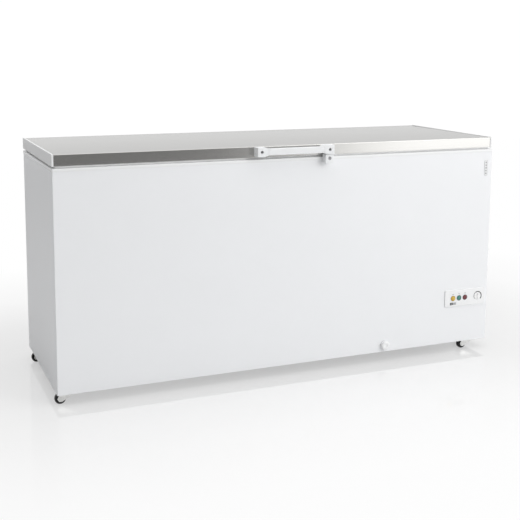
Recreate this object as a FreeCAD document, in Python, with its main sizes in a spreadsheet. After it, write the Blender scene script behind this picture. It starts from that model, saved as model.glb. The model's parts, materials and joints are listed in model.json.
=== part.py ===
import FreeCAD, Part
import math
import os
import re
import Sketcher
from FreeCAD import Placement, Rotation, Vector

# Chest freezer with a stainless lid, built as separate pieces in one parametric document.
# Millimetres, +Z up. The origin is on the floor, under the middle of the freezer. -Y is the front.

DIMENSIONS = {
    # cabinet
    "cab_width": 1800, "cab_depth": 600, "cab_height": 802, "floor_gap": 40, "base_recess": 14,
    "sheet": 1, "tray_sheet": 1.5, "corner": 3, "wall": 66, "floor_wall": 70, "liner_sheet": 1.5, "liner_round": 20,
    "step_width": 390, "step_height": 400, "room_width": 326, "room_height": 290,
    # plastic rim round the tub's mouth
    "rim_cap": 3, "rim_skirt": 11, "rim_seat": 50, "rim_drop": 13, "rim_lip": 17, "rim_proud": 1.5, "rim_reach": 6,
    # lid
    "seal_gap": 7.5, "seal_clear": 0.3, "lid_skirt": 40, "lid_inset": 0.5, "lid_setback": 8, "lid_back": 12,
    "trim_face": 7, "trim_wall": 2.5, "trim_proud": 1.5, "plug_depth": 13.5, "plug_gap_x": 19, "plug_gap_y": 19,
    # handle and lock
    "handle_length": 314, "block_width": 36, "block_height": 35, "block_depth": 38, "bar_height": 25, "bar_thick": 14,
    "handle_drop": 0, "screw_recess": 5.6, "lock_depth": 26, "lock_height": 34, "barrel_radius": 7.2, "fit_gap": 0.15,
    # controls
    "panel_width": 194, "panel_height": 70, "panel_thick": 4, "panel_right": 15, "panel_level": 228,
    "lamp_radius": 10.5, "lamp_first": 39, "lamp_pitch": 29, "knob_radius": 15.5, "knob_inset": 35,
    "press_travel": 2,
    # drain
    "drain_place": 412, "drain_level": 66, "drain_back": 150, "pipe_radius": 10, "pipe_bore": 7.5,
    "drain_cap_radius": 18.5,
    # hinges
    "hinge_place": 520, "pin_radius": 4, "pin_back": 22, "pin_rise": 4, "cheek_radius": 8, "hinge_half": 28.5,
    "hinge_drop": 138, "run_gap": 0.05,
    # castors
    "castor_side": 57, "castor_front": 32, "castor_rear": 84, "wheel_radius": 20, "wheel_width": 15, "castor_trail": 42,
    "plate_half": 28, "crown_level": 45, "fork_half": 12, "fork_sheet": 2,
    # baskets
    "basket_width": 230, "basket_depth": 190, "basket_place": 700, "wire": 2, "frame_wire": 3,
    # cooling
    "coil_radius": 4, "grille_width": 300, "grille_height": 250,
}

doc = FreeCAD.newDocument("chest_freezer")
sheet = doc.addObject("Spreadsheet::Sheet", "dims")
for row, (alias, number) in enumerate(DIMENSIONS.items(), start=1):
    sheet.set(f"A{row}", alias)
    sheet.set(f"B{row}", str(number))
    sheet.setAlias(f"B{row}", alias)
doc.recompute()

# Heights and faces that many pieces share, as formulas on the sheet's names.
SIDE = "cab_width/2"
FACE = "cab_depth/2"
DECK = "(floor_gap+base_recess)"
RIM = "(floor_gap+cab_height)"
LEDGE = f"({RIM}-rim_drop)"
LID_LOW = f"({RIM}+seal_gap)"
LID_TOP = f"({LID_LOW}+lid_skirt)"
LID_X = f"({SIDE}-lid_inset)"
LID_FRONT = f"(lid_setback-{FACE})"
LID_BACK = f"({FACE}+lid_back)"
TUB_X = f"({SIDE}-wall)"
TUB_Y = f"({FACE}-wall)"
TUB_LOW = f"({DECK}+floor_wall)"
STEP_X = f"({SIDE}-step_width)"
ROOM_X = f"({SIDE}-room_width)"
ROOM_Z = f"({DECK}+room_height-14)"
PIN_Y = f"({FACE}+pin_back)"
PIN_Z = f"({RIM}+pin_rise)"
PANEL_X = f"({SIDE}-panel_right-panel_width/2)"
LOCK_X = "(handle_length/2-block_width/2)"
LOCK_Z = f"({RIM}-4)"
HANDLE_TOP = f"({LID_TOP}-handle_drop)"
HANDLE_FRONT = f"({LID_FRONT}-block_depth)"

NODES = {}


def size(alias):
    """The sheet's value for one driving dimension."""
    return float(sheet.get(alias))


def formula(text):
    """A formula on the sheet's names, as FreeCAD's expressions want it."""
    return re.sub(r"[a-z][a-z_]*", lambda m: f"dims.{m.group()}" if m.group() in DIMENSIONS else m.group(), str(text))


def bind(thing, **formulas):
    """Ties properties of an object to formulas; at=(x, y, z) ties its position."""
    place = formulas.pop("at", None)
    for name, text in formulas.items():
        thing.setExpression(name, formula(text))
    for axis, text in zip("xyz", place or ()):
        thing.setExpression(f"Placement.Base.{axis}", formula(text))
    return thing


def node(thing, label):
    """Names a finished sub-part."""
    thing.Label = label
    NODES[label] = thing
    return thing


def box(x, y, z):
    """A block between two formulas on each axis."""
    low, high = [p[0] for p in (x, y, z)], [p[1] for p in (x, y, z)]
    spans = [f"({b})-({a})" for a, b in zip(low, high)]
    return bind(doc.addObject("Part::Box", "Block"), Length=spans[0], Width=spans[1], Height=spans[2], at=low)


TURN_TO = {"x": Rotation(Vector(0, 1, 0), 90), "y": Rotation(Vector(1, 0, 0), -90), "z": Rotation()}


def rod(axis, at, radius, length):
    """A round bar that starts at a point and runs along +X, +Y or +Z."""
    made = doc.addObject("Part::Cylinder", "Rod")
    made.Placement = Placement(Vector(), TURN_TO[axis])
    return bind(made, Radius=radius, Height=length, at=at)


def fuse(*things):
    made = doc.addObject("Part::MultiFuse", "Fused")
    made.Shapes = list(things)
    made.Refine = True
    return made


def cut(base, *tools):
    made = doc.addObject("Part::Cut", "Cut")
    made.Base = base
    made.Tool = tools[0] if len(tools) == 1 else fuse(*tools)
    made.Refine = True
    return made


def group(things):
    """Identical pieces that share one node, as separate solids."""
    made = doc.addObject("Part::Compound", "Group")
    made.Links = list(things)
    return made


def upright(thing, front, back):
    """Rounds a block's upright edges: the front two and the back two."""
    for radius, side in ((front, -1), (back, 1)):
        if radius:
            thing = rounded(thing, radius, lambda e, side=side: along(e, "z") and e.CenterOfMass.y * side > 0)
    return thing


def ring(outer_x, outer_y, inner_x, inner_y, z, outer_round=(0, 0), inner_round=(0, 0)):
    """A rectangular frame centred on the cabinet, between two heights."""
    outer = box((f"-({outer_x})", outer_x), (f"-({outer_y})", outer_y), z)
    inner = box((f"-({inner_x})", inner_x), (f"-({inner_y})", inner_y), (f"{z[0]}-1", f"{z[1]}+1"))
    return cut(upright(outer, *outer_round), upright(inner, *inner_round))


def rounded(thing, radius, wanted):
    """Rounds the edges of a solid that a test picks."""
    doc.recompute()
    made = doc.addObject("Part::Fillet", "Rounded")
    made.Base = thing
    made.Edges = [(n, radius, radius) for n, e in enumerate(thing.Shape.Edges, start=1) if wanted(e)]
    return made


def along(edge, axis):
    """True for a straight edge that runs along one axis."""
    if edge.Curve.TypeId != "Part::GeomLine":
        return False
    direction = edge.tangentAt(edge.FirstParameter)
    return abs(abs(getattr(direction, axis)) - 1) < 1e-6


def body(name):
    return doc.addObject("PartDesign::Body", name)


def sketch(owner, plane, *outlines):
    """A sketch on one of the body's origin planes. An outline is a list of points, or (x, y, radius) for a circle."""
    made = owner.newObject("Sketcher::SketchObject", "Sketch")
    origin = [f for f in owner.Origin.OriginFeatures if f.Role == f"{plane}_Plane"][0]
    made.AttachmentSupport = [(origin, "")]
    made.MapMode = "FlatFace"

    def pin(kind, geometry, end, text):
        number = made.addConstraint(Sketcher.Constraint(kind, geometry, end, 1.0))
        made.setExpression(f"Constraints[{number}]", formula(text))

    for outline in outlines:
        if isinstance(outline, tuple):
            x, y, radius = outline
            circle = made.addGeometry(Part.Circle(Vector(0, 0, 0), Vector(0, 0, 1), 1.0))
            pin("DistanceX", circle, 3, x)
            pin("DistanceY", circle, 3, y)
            number = made.addConstraint(Sketcher.Constraint("Radius", circle, 1.0))
            made.setExpression(f"Constraints[{number}]", formula(radius))
            continue
        first = len(made.Geometry)
        count = len(outline)
        turn = [Vector(math.cos(k * math.tau / count), math.sin(k * math.tau / count), 0) for k in range(count)]
        for k in range(count):
            made.addGeometry(Part.LineSegment(turn[k], turn[(k + 1) % count]))
        for k in range(count):
            made.addConstraint(Sketcher.Constraint("Coincident", first + k, 2, first + (k + 1) % count, 1))
        for k, (x, y) in enumerate(outline):
            pin("DistanceX", first + k, 1, x)
            pin("DistanceY", first + k, 1, y)
    return made


def rectangle(x, y):
    return [(x[0], y[0]), (x[1], y[0]), (x[1], y[1]), (x[0], y[1])]


def pad(owner, plane, length, *outlines, reverse=False):
    made = owner.newObject("PartDesign::Pad", "Pad")
    made.Profile = sketch(owner, plane, *outlines)
    made.Reversed = reverse
    return bind(made, Length=length)


def pocket(owner, plane, length, *outlines, reverse=False):
    """Cuts material away, and stops the build if it cut nothing."""
    doc.recompute()
    before = owner.Shape.Volume
    made = owner.newObject("PartDesign::Pocket", "Pocket")
    made.Profile = sketch(owner, plane, *outlines)
    made.Reversed = reverse
    bind(made, Length=length)
    doc.recompute()
    if not owner.Shape.Volume < before - 1e-6:
        raise RuntimeError(f"{owner.Name}: a pocket cut nothing")
    return made


def soften(owner, radius, wanted):
    """Fillets the edges of a body's last feature that a test picks, in the body's own coordinates."""
    doc.recompute()
    last = owner.Tip
    made = owner.newObject("PartDesign::Fillet", "Fillet")
    made.Base = (last, [f"Edge{n}" for n, e in enumerate(last.Shape.Edges, start=1) if wanted(e)])
    made.Radius = radius
    return made


def turned(name, outline, at, axis="z"):
    """A body turned round an axis, from (radius, distance) points."""
    made = body(name)
    spin = made.newObject("PartDesign::Revolution", "Turned")
    spin.Profile = sketch(made, "XZ", outline)
    spin.ReferenceAxis = (spin.Profile[0], ["V_Axis"])
    spin.Angle = 360
    made.Placement = Placement(Vector(), TURN_TO[axis])
    return bind(made, at=at)


def plate(name, plane, outline, start, length, holes=()):
    """A flat piece: one outline with holes, padded along the plane's own axis from a start position."""
    made = body(name)
    pad(made, plane, length, outline, *holes, reverse=plane == "XZ")
    at = {"XY": (0, 0, start), "XZ": (0, start, 0), "YZ": (start, 0, 0)}[plane]
    return bind(made, at=at)


def bent_path(points, bend):
    """Straight runs joined by tangent arcs."""
    edges, last = [], points[0]
    for before, here, after in zip(points, points[1:], points[2:]):
        back, on = (before - here).normalize(), (after - here).normalize()
        angle = back.getAngle(on)
        reach = min(bend / math.tan(angle / 2), 0.45 * (before - here).Length, 0.45 * (after - here).Length)
        radius = reach * math.tan(angle / 2)
        start, end = here + back * reach, here + on * reach
        middle = here + (back + on).normalize() * (radius / math.sin(angle / 2) - radius)
        edges += [Part.LineSegment(last, start).toShape(), Part.Arc(start, middle, end).toShape()]
        last = end
    edges.append(Part.LineSegment(last, points[-1]).toShape())
    return Part.Wire(edges)


def tube(points, radius, bend):
    """A round tube or rod along a bent path."""
    path = bent_path([Vector(*p) for p in points], bend)
    start = path.Edges[0]
    section = Part.Wire(Part.makeCircle(radius, start.Vertexes[0].Point, start.tangentAt(start.FirstParameter)))
    return path.makePipeShell([section], True, True)


def feature(shape, name):
    """A free shape that no primitive or body gives."""
    made = doc.addObject("Part::Feature", name)
    made.Shape = shape
    made.Placement = Placement()
    return made


# ---------------------------------------------------------------- cabinet

def outer_shell():
    """One painted sheet wrapped round the front and both sides."""
    made = body("OuterShell")
    back = f"{FACE}-sheet"
    outline = [(f"-{SIDE}", back), (f"-{SIDE}", f"-{FACE}"), (SIDE, f"-{FACE}"), (SIDE, back),
               (f"{SIDE}-sheet", back), (f"{SIDE}-sheet", f"sheet-{FACE}"),
               (f"sheet-{SIDE}", f"sheet-{FACE}"), (f"sheet-{SIDE}", back)]
    pad(made, "XY", "cab_height-rim_cap", outline)
    bind(made, at=(0, 0, "floor_gap"))
    front = -size("cab_depth") / 2
    soften(made, size("corner"), lambda e: along(e, "z") and e.CenterOfMass.y < front + 0.1)
    inner = front + size("sheet")
    soften(made, size("corner") - size("sheet"), lambda e: along(e, "z") and abs(e.CenterOfMass.y - inner) < 0.1)
    low = "panel_level-floor_gap"
    window = rectangle((f"{PANEL_X}-panel_width/2+7", f"{PANEL_X}+panel_width/2-7"),
                       (f"{low}-panel_height/2+7", f"{low}+panel_height/2-7"))
    drain = ("drain_place", "drain_level-floor_gap", "pipe_radius+0.2")
    pocket(made, "XZ", "cab_depth", window, drain, reverse=True)
    slots = [rectangle(("-90", "90"), (f"{60 + 24 * k}", f"{68 + 24 * k}")) for k in range(8)]
    pocket(made, "YZ", "cab_width", *slots, reverse=True)
    node(made, "outer_shell")


def tub_block(grow, top):
    """The tub's solid form, grown outwards from the liner's inner face."""
    made = body("TubForm")
    outline = [(f"-{TUB_X}-{grow}+liner_sheet", f"{TUB_LOW}-{grow}+liner_sheet"),
               (f"{STEP_X}+{grow}-liner_sheet", f"{TUB_LOW}-{grow}+liner_sheet"),
               (f"{STEP_X}+{grow}-liner_sheet", f"step_height-{grow}"),
               (f"{TUB_X}+{grow}-liner_sheet", f"step_height-{grow}"),
               (f"{TUB_X}+{grow}-liner_sheet", top),
               (f"-{TUB_X}-{grow}+liner_sheet", top)]
    pad(made, "XZ", f"2*({TUB_Y}+{grow}-liner_sheet)", outline)
    bind(made, at=(0, f"{TUB_Y}+{grow}-liner_sheet", 0))
    return made


def rounded_tub(grow, top, radius):
    made = tub_block(grow, top)
    doc.recompute()
    ceiling = made.Shape.BoundBox.ZMax
    soften(made, radius, lambda e: e.CenterOfMass.z < ceiling - 0.1)
    return made


def pipe_path():
    """Drain: down from the tub's floor, then forward to the cabinet's face."""
    x, z, y = size("drain_place"), size("drain_level"), -size("drain_back")
    floor = size("floor_gap") + size("base_recess") + size("floor_wall")
    return [(x, y, floor), (x, y, z), (x, -size("cab_depth") / 2, z)]


def coil_paths():
    """Centre lines of the evaporator, round the liner, and of the condenser, inside the outer skin."""
    off = size("coil_radius") + 0.4
    tub_x = size("cab_width") / 2 - size("wall") + off
    tub_y = size("cab_depth") / 2 - size("wall") + off
    step_x = size("cab_width") / 2 - size("step_width") + off
    over_room = size("floor_gap") + size("base_recess") + size("room_height") - 10
    route = []
    for level, right in ((185, step_x), (290, step_x), (450, tub_x), (540, tub_x), (630, tub_x), (720, tub_x)):
        route += [(-tub_x, tub_y, level), (-tub_x, -tub_y, level), (right, -tub_y, level), (right, tub_y, level)]
    evaporator = route + [(tub_x, tub_y - 60, 700), (tub_x, tub_y - 60, over_room)]
    skin_x = size("cab_width") / 2 - size("sheet") - off
    skin_y = size("cab_depth") / 2 - size("sheet") - off
    right = skin_x - 60
    route = [(right, -skin_y, over_room)]
    turn = -1
    for level in (400, 500, 600, 700):
        route += [(right, turn * skin_y, level), (-skin_x, turn * skin_y, level),
                  (-skin_x, -turn * skin_y, level), (right, -turn * skin_y, level)]
        turn = -turn
    return evaporator, route


def drain_pipe():
    path = pipe_path()
    outside = feature(tube(path, size("pipe_radius"), 18), "PipeOutside")
    bore = feature(tube(path, size("pipe_bore"), 18), "PipeBore")
    node(cut(outside, bore), "drain_pipe")
    return outside


def foam_and_liner():
    """Rigid foam between the skin and the tub, with the coils and the drain cast into it."""
    x, y = f"{SIDE}-sheet", f"{FACE}-sheet"
    block = box((f"-({x})", x), (f"-({y})", y), (f"{DECK}+sheet", f"{RIM}-rim_cap"))
    block = rounded(block, size("corner") - size("sheet") + 0.05,
                    lambda e: along(e, "z") and e.CenterOfMass.y < 0)
    room = box((f"{ROOM_X}-sheet", SIDE), (f"-{FACE}", FACE), (DECK, f"{ROOM_Z}+sheet"))
    seat_x, seat_y = f"{SIDE}-rim_seat+2.5", f"{FACE}-rim_seat+2.5"
    mouth = box((f"-({seat_x})", seat_x), (f"-({seat_y})", seat_y), (f"{LEDGE}-3", RIM))
    mouth = rounded(mouth, 14, lambda e: along(e, "z"))
    evaporator, condenser = coil_paths()
    snug = size("liner_round") + size("liner_sheet") + size("coil_radius") + 0.4
    coils = [feature(tube(evaporator, size("coil_radius"), snug), "Evaporator"),
             feature(tube(condenser, size("coil_radius"), 30), "Condenser")]
    node(coils[0], "evaporator_coil")
    node(coils[1], "condenser_coil")
    outside = drain_pipe()
    form = rounded_tub("liner_sheet", f"{LEDGE}-3", size("liner_round") + size("liner_sheet"))
    node(cut(block, room, mouth, form, coils[0], coils[1], outside), "insulation_foam")

    skin = rounded_tub("liner_sheet", f"{LEDGE}-3", size("liner_round") + size("liner_sheet"))
    hollow = rounded_tub("0", f"{LEDGE}+5", size("liner_round"))
    outlet = rod("z", ("drain_place", "-drain_back", f"{TUB_LOW}-5"), "pipe_bore", 10)
    node(cut(skin, hollow, outlet), "inner_liner")


def rim_trim():
    """Plastic rim: a cap over the skin's edge, a seat for the seal and a lower ledge for the baskets."""
    x, y = SIDE, FACE
    bend = size("corner") + size("rim_proud")
    proud = (f"{x}+rim_proud", f"{y}+rim_proud")
    seat = ring(*proud, f"{x}-rim_seat", f"{y}-rim_seat", (f"{RIM}-rim_cap", RIM), (bend, 1.2), (12, 12))
    skirt = ring(*proud, f"{x}+0.2", f"{y}+0.2", (f"{RIM}-rim_skirt", RIM), (bend, 1.2), (size("corner") + 0.2, 0))
    riser = ring(f"{x}-rim_seat+2.5", f"{y}-rim_seat+2.5", f"{x}-rim_seat", f"{y}-rim_seat", (f"{LEDGE}-3", RIM), (14, 14), (12, 12))
    inner_x, inner_y = f"{TUB_X}-rim_reach", f"{TUB_Y}-rim_reach"
    ledge = ring(f"{x}-rim_seat+2.5", f"{y}-rim_seat+2.5", inner_x, inner_y, (f"{LEDGE}-3", LEDGE), (14, 14), (24, 24))
    lip = ring(f"{inner_x}+2.5", f"{inner_y}+2.5", inner_x, inner_y, (f"{LEDGE}-rim_lip", LEDGE), (26, 26), (24, 24))
    node(fuse(seat, skirt, riser, ledge, lip), "rim_trim")


def base_and_room():
    """Bottom sheet, machine room lining, compressor tray and the rear panel."""
    x, y = f"{SIDE}-sheet-0.6", f"{FACE}-sheet-0.6"
    node(box((f"-({x})", f"{ROOM_X}-sheet"), (f"-({y})", y), (DECK, f"{DECK}+sheet")), "base_panel")
    node(box((f"{ROOM_X}-sheet", x), (f"-({y})", y), (DECK, f"{DECK}+tray_sheet")), "compressor_tray")
    wall = box((f"{ROOM_X}-sheet", ROOM_X), (f"-({y})", y), (f"{DECK}+tray_sheet", f"{ROOM_Z}+sheet"))
    roof = box((f"{ROOM_X}-sheet", x), (f"-({y})", y), (ROOM_Z, f"{ROOM_Z}+sheet"))
    node(fuse(wall, roof), "machine_room_lining")
    panel = box((f"-({x})", x), (f"{FACE}-sheet", FACE), ("floor_gap", f"{RIM}-rim_cap"))
    opening = box((f"{ROOM_X}+18", f"{ROOM_X}+6+grille_width-12"), ("0", f"{FACE}+5"),
                  (f"{DECK}+20", f"{DECK}+8+grille_height-12"))
    node(cut(panel, opening), "rear_panel")


def compressor_grille():
    """Slotted rear cover of the machine room, with the hole for the mains inlet."""
    x, z = f"{ROOM_X}+6", f"{DECK}+8"
    made = body("Grille")
    pad(made, "XZ", "2", rectangle((x, f"{x}+grille_width"), (z, f"{z}+grille_height")), reverse=True)
    bind(made, at=(0, FACE, 0))
    slots = [rectangle((f"{x}+{40 + 118 * c}", f"{x}+{140 + 118 * c}"), (f"{z}+{62 + 17 * k}", f"{z}+{70 + 17 * k}"))
             for k in range(10) for c in range(2)]
    inlet = (f"{x}+40", f"{z}+32", "8.2")
    pocket(made, "XZ", "10", *slots, inlet, reverse=False)
    node(made, "compressor_grille")
    gland = turned("CableInlet", [(4.25, -10), (8, -10), (8, 2), (13, 2), (13, 6), (9, 12), (4.25, 12)],
                   (f"{x}+40", FACE, f"{z}+32"), "y")
    node(gland, "cable_inlet")


# ---------------------------------------------------------------- cooling machine

def compressor():
    """Hermetic pot on a pressed foot plate, with rubber mounts, starter box and dryer."""
    x, y, z = f"{ROOM_X}+165", "70", f"{DECK}+tray_sheet+14"
    pot = rod("z", (x, y, f"{z}+3"), 74, 168)
    pot = rounded(pot, 48, lambda e: e.Curve.TypeId == "Part::GeomCircle")
    seam = rod("z", (x, y, f"{z}+82"), 78, 5)
    foot = box((f"{x}-100", f"{x}+100"), (f"{y}-62", f"{y}+62"), (z, f"{z}+6"))
    stubs = [rod("x", (f"{x}+66", y, f"{z}+90"), 5.5, 18), rod("y", (f"{x}+40", f"{y}-74", f"{z}+60"), 4.5, 18)]
    corners = [(sx * 84, sy * 48) for sx in (-1, 1) for sy in (-1, 1)]
    holes = [rod("z", (f"{x}+({a})", f"{y}+({b})", f"{z}-1"), 8, 8) for a, b in corners]
    node(cut(fuse(pot, seam, foot, *stubs), *holes), "compressor")
    mounts = [turned("Mount", [(0, 0), (12, 0), (12, 13.8), (7.8, 13.8), (7.8, 20.2), (11, 20.2), (11, 23), (0, 23)],
                     (f"{x}+({a})", f"{y}+({b})", f"{DECK}+tray_sheet")) for a, b in corners]
    node(group(mounts), "compressor_mounts")
    node(box((f"{x}-117", f"{x}-78.5"), (f"{y}-26", f"{y}+26"), (f"{z}+60", f"{z}+122")), "relay_box")
    dryer = turned("Dryer", [(0, 0), (3.2, 0), (3.2, 12), (9.5, 24), (9.5, 112), (3.2, 124), (3.2, 134), (0, 134)],
                   (f"{x}-125", f"{y}-170", f"{DECK}+70"))
    node(dryer, "filter_drier")
    middle_x = size("cab_width") / 2 - size("room_width") + 165
    deck = size("floor_gap") + size("base_recess")
    pot_z = deck + size("tray_sheet") + 14 + 60
    roof = deck + size("room_height") - 14 - 0.3
    skin_x = size("cab_width") / 2 - size("sheet") - size("coil_radius") - 0.4 - 60
    skin_y = size("cab_depth") / 2 - size("sheet") - size("coil_radius") - 0.4
    tub_x = size("cab_width") / 2 - size("wall") + size("coil_radius") + 0.4
    tub_y = size("cab_depth") / 2 - size("wall") + size("coil_radius") + 0.4 - 60
    discharge = [(middle_x + 40, -4, pot_z), (middle_x + 40, -90, pot_z), (skin_x, -150, pot_z + 60),
                 (skin_x, -210, roof - 40), (skin_x, -skin_y, roof - 26), (skin_x, -skin_y, roof)]
    suction = [(middle_x + 84, 70, pot_z + 30), (tub_x, 70, pot_z + 30), (tub_x, tub_y, pot_z + 60),
               (tub_x, tub_y, roof)]
    capillary = [(middle_x - 125, -100, deck + 204.5), (middle_x - 125, -100, deck + 240),
                 (middle_x - 40, -60, deck + 250), (middle_x - 40, -60, roof)]
    pipes = [feature(tube(discharge, 3, 20), "Discharge"), feature(tube(suction, 4, 20), "Suction"),
             feature(tube(capillary, 1.6, 14), "Capillary")]
    node(group(pipes), "refrigerant_pipes")


# ---------------------------------------------------------------- controls

def controls():
    """Bezel with two lamps, a lit push button and the thermostat's dial."""
    half_w, half_h = "panel_width/2", "panel_height/2"
    front = f"-{FACE}"
    bezel = body("Bezel")
    lamps = [f"lamp_first+{k}*lamp_pitch-{half_w}" for k in range(3)]
    knob = f"{half_w}-knob_inset"
    pad(bezel, "XZ", "panel_thick", rectangle((f"-{half_w}", half_w), (f"-{half_h}", half_h)))
    bind(bezel, at=(PANEL_X, front, "panel_level"))
    soften(bezel, 7, lambda e: along(e, "y"))
    thick = size("panel_thick")
    soften(bezel, 1.6, lambda e: e.BoundBox.YMax < 0.01 - thick)
    holes = [(x, "0", "lamp_radius+fit_gap") for x in lamps] + [(knob, "0", "knob_radius+0.5")]
    pocket(bezel, "XZ", "panel_thick+5", *holes, reverse=True)
    node(bezel, "control_bezel")

    x0, x1 = f"{PANEL_X}-{half_w}+9", f"{PANEL_X}+{half_w}-9"
    z0, z1 = f"panel_level-{half_h}+9", f"panel_level+{half_h}-9"
    case = box((x0, x1), (front, f"{front}+46"), (z0, z1))
    hollow = box((f"{x0}+2", f"{x1}-2"), (f"{front}-1", f"{front}+44"), (f"{z0}+2", f"{z1}-2"))
    node(cut(case, hollow), "control_box")

    def lens(name, x, label, dome):
        outline = [(0, 26), (6, 26), (6, 6), ("lamp_radius", 6), ("lamp_radius", -3.5), (8, -5.2), (4, -6), (0, -6.2)]
        made = turned(name, outline, (f"{PANEL_X}+{x}", f"{front}+{dome}", "panel_level"), "y")
        made.Placement.Rotation = Rotation(Vector(1, 0, 0), -90)
        node(made, label)

    lens("FreezeButton", lamps[0], "fast_freeze_button", "-1.6")
    lens("PowerLamp", lamps[1], "power_lamp", "0")
    lens("AlarmLamp", lamps[2], "alarm_lamp", "0")

    dial = turned("Knob", [(0, 12), (3, 12), (3, -1), ("knob_radius", -1), ("knob_radius", -5.6), (14.5, -6.6),
                           (0, -6.6)], (f"{PANEL_X}+{knob}", front, "panel_level"), "y")
    ridge = box((f"{PANEL_X}+{knob}-2", f"{PANEL_X}+{knob}+2"), (f"{front}-10", f"{front}-6"),
                ("panel_level-12.5", "panel_level+12.5"))
    ridge = rounded(ridge, 1.2, lambda e: e.BoundBox.YMax < -size("cab_depth") / 2 - 9.9)
    node(fuse(dial, ridge), "thermostat_knob")
    stat = box((f"{PANEL_X}+{knob}-19", f"{PANEL_X}+{knob}+19"), (f"{front}+8", f"{front}+40"),
               ("panel_level-17", "panel_level+17"))
    socket = rod("y", (f"{PANEL_X}+{knob}", f"{front}+7", "panel_level"), 3.3, 8)
    node(cut(stat, socket), "thermostat_body")


def badge():
    x, z = f"{SIDE}-29", f"{RIM}-77"
    made = body("Badge")
    pad(made, "XZ", "1", rectangle((f"{x}-8", f"{x}+8"), (f"{z}-33", f"{z}+33")))
    bind(made, at=(0, f"-{FACE}", 0))
    soften(made, 7.9, lambda e: along(e, "y"))
    node(made, "blank_badge")


def drain():
    """Screw cap in front, and the plug in the tub's floor."""
    cap = turned("DrainCap", [(0, -12), (3, -12), (3, -9), (16, -9), ("drain_cap_radius", -7), ("drain_cap_radius", -1),
                              (17, -0.2), ("pipe_bore-0.6", -0.2), ("pipe_bore-0.6", 16), ("pipe_bore-1.6", 18),
                              (0, 18)],
                 ("drain_place", f"-{FACE}", "drain_level"), "y")
    node(cap, "drain_cap")
    floor = f"{TUB_LOW}+liner_sheet"
    plug = turned("TubPlug", [(0, -20), ("pipe_bore-1.6", -20), ("pipe_bore-0.6", -18), ("pipe_bore-0.6", 0.3),
                              (17, 0.3), (17, 3), (15, 4.5), (4, 4.5), (3.2, 14), (6, 18), (5, 22), (0, 23)],
                  ("drain_place", "-drain_back", floor))
    node(plug, "tub_plug")


# ---------------------------------------------------------------- lid

def lid():
    """Stainless top folded down in front and behind, plastic end trims, foam, inner panel and seal."""
    skin_x = f"({LID_X}-trim_face-0.1)"
    skin = body("LidSkin")
    y0, y1 = LID_FRONT, LID_BACK
    outline = [(y0, LID_LOW), (f"{y0}+sheet", LID_LOW), (f"{y0}+sheet", f"{LID_TOP}-sheet"),
               (f"{y1}-sheet", f"{LID_TOP}-sheet"), (f"{y1}-sheet", LID_LOW), (y1, LID_LOW), (y1, LID_TOP),
               (y0, LID_TOP)]
    pad(skin, "YZ", f"2*{skin_x}", outline)
    bind(skin, at=(f"-{skin_x}", 0, 0))
    doc.recompute()
    top = skin.Shape.BoundBox.ZMax
    soften(skin, 1.8, lambda e: along(e, "x") and e.CenterOfMass.z > top - 0.1)
    soften(skin, 0.8, lambda e: along(e, "x") and abs(e.CenterOfMass.z - (top - size("sheet"))) < 0.1)
    node(skin, "lid_skin")

    for side, label in ((-1, "lid_end_trim_left"), (1, "lid_end_trim_right")):
        inner, wall, outer = f"{LID_X}-trim_face", f"{LID_X}-trim_wall", LID_X
        spans = [(inner, outer), (f"{inner}-1", wall)]
        if side < 0:
            spans = [(f"-({far})", f"-({near})") for near, far in spans]
        block = box(spans[0], (f"{y0}-trim_proud", f"{y1}+trim_proud"), (f"{LID_LOW}-1.5", f"{LID_TOP}+trim_proud"))
        hollow = box(spans[1], (f"{y0}+sheet+0.1", f"{y1}-sheet-0.1"), (f"{LID_LOW}+1.1", f"{LID_TOP}-sheet-0.1"))
        reach = size("cab_width") / 2 - size("lid_inset")
        node(rounded(cut(block, hollow), 1.2, lambda e: abs(abs(e.CenterOfMass.x) - reach) < 0.05), label)

    pan_x, pan_y = f"({TUB_X}-plug_gap_x)", f"({TUB_Y}-plug_gap_y)"
    panel = box((f"-({skin_x})", skin_x), (f"{y0}+sheet+0.1", f"{y1}-sheet-0.1"), (LID_LOW, f"{LID_LOW}+2"))
    pan = box((f"-{pan_x}", pan_x), (f"-{pan_y}", pan_y), (f"{LID_LOW}-plug_depth", f"{LID_LOW}+1"))
    pan = rounded(pan, 14, lambda e: along(e, "z"))
    low = size("floor_gap") + size("cab_height") + size("seal_gap") - size("plug_depth")
    pan = rounded(pan, 8, lambda e: e.BoundBox.ZMax < low + 0.1)
    inside = box((f"2-{pan_x}", f"{pan_x}-2"), (f"2-{pan_y}", f"{pan_y}-2"), (f"{LID_LOW}-plug_depth+2", f"{LID_LOW}+3"))
    inside = rounded(inside, 12, lambda e: along(e, "z"))
    inside = rounded(inside, 6, lambda e: e.BoundBox.ZMax < low + 2.1)
    node(cut(fuse(panel, pan), inside), "lid_inner_panel")
    fill_x = f"{LID_X}-trim_wall-0.2"
    fill = box((f"-({fill_x})", fill_x), (f"{y0}+sheet+0.1", f"{y1}-sheet-0.1"),
               (f"{LID_LOW}+2.1", f"{LID_TOP}-sheet-0.1"))
    fill = rounded(fill, 1, lambda e: along(e, "x") and e.CenterOfMass.z > low + 40)
    core = box((f"2.3-{pan_x}", f"{pan_x}-2.3"), (f"2.3-{pan_y}", f"{pan_y}-2.3"), (f"{LID_LOW}-plug_depth+2.3", f"{LID_LOW}+5"))
    core = rounded(core, 12, lambda e: along(e, "z"))
    core = rounded(core, 6, lambda e: e.BoundBox.ZMax < low + 2.4)
    node(fuse(fill, core), "lid_foam")

    x, y = f"{SIDE}-8", f"{FACE}-9.5"
    flange = ring(x, y, f"{x}-32", f"{y}-32", (f"{LID_LOW}-4", LID_LOW))
    bulb = ring(f"{x}-3", f"{y}-3", f"{x}-25", f"{y}-25", (f"{RIM}+seal_clear", f"{LID_LOW}-3"))
    node(fuse(flange, bulb), "lid_gasket")


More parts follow.
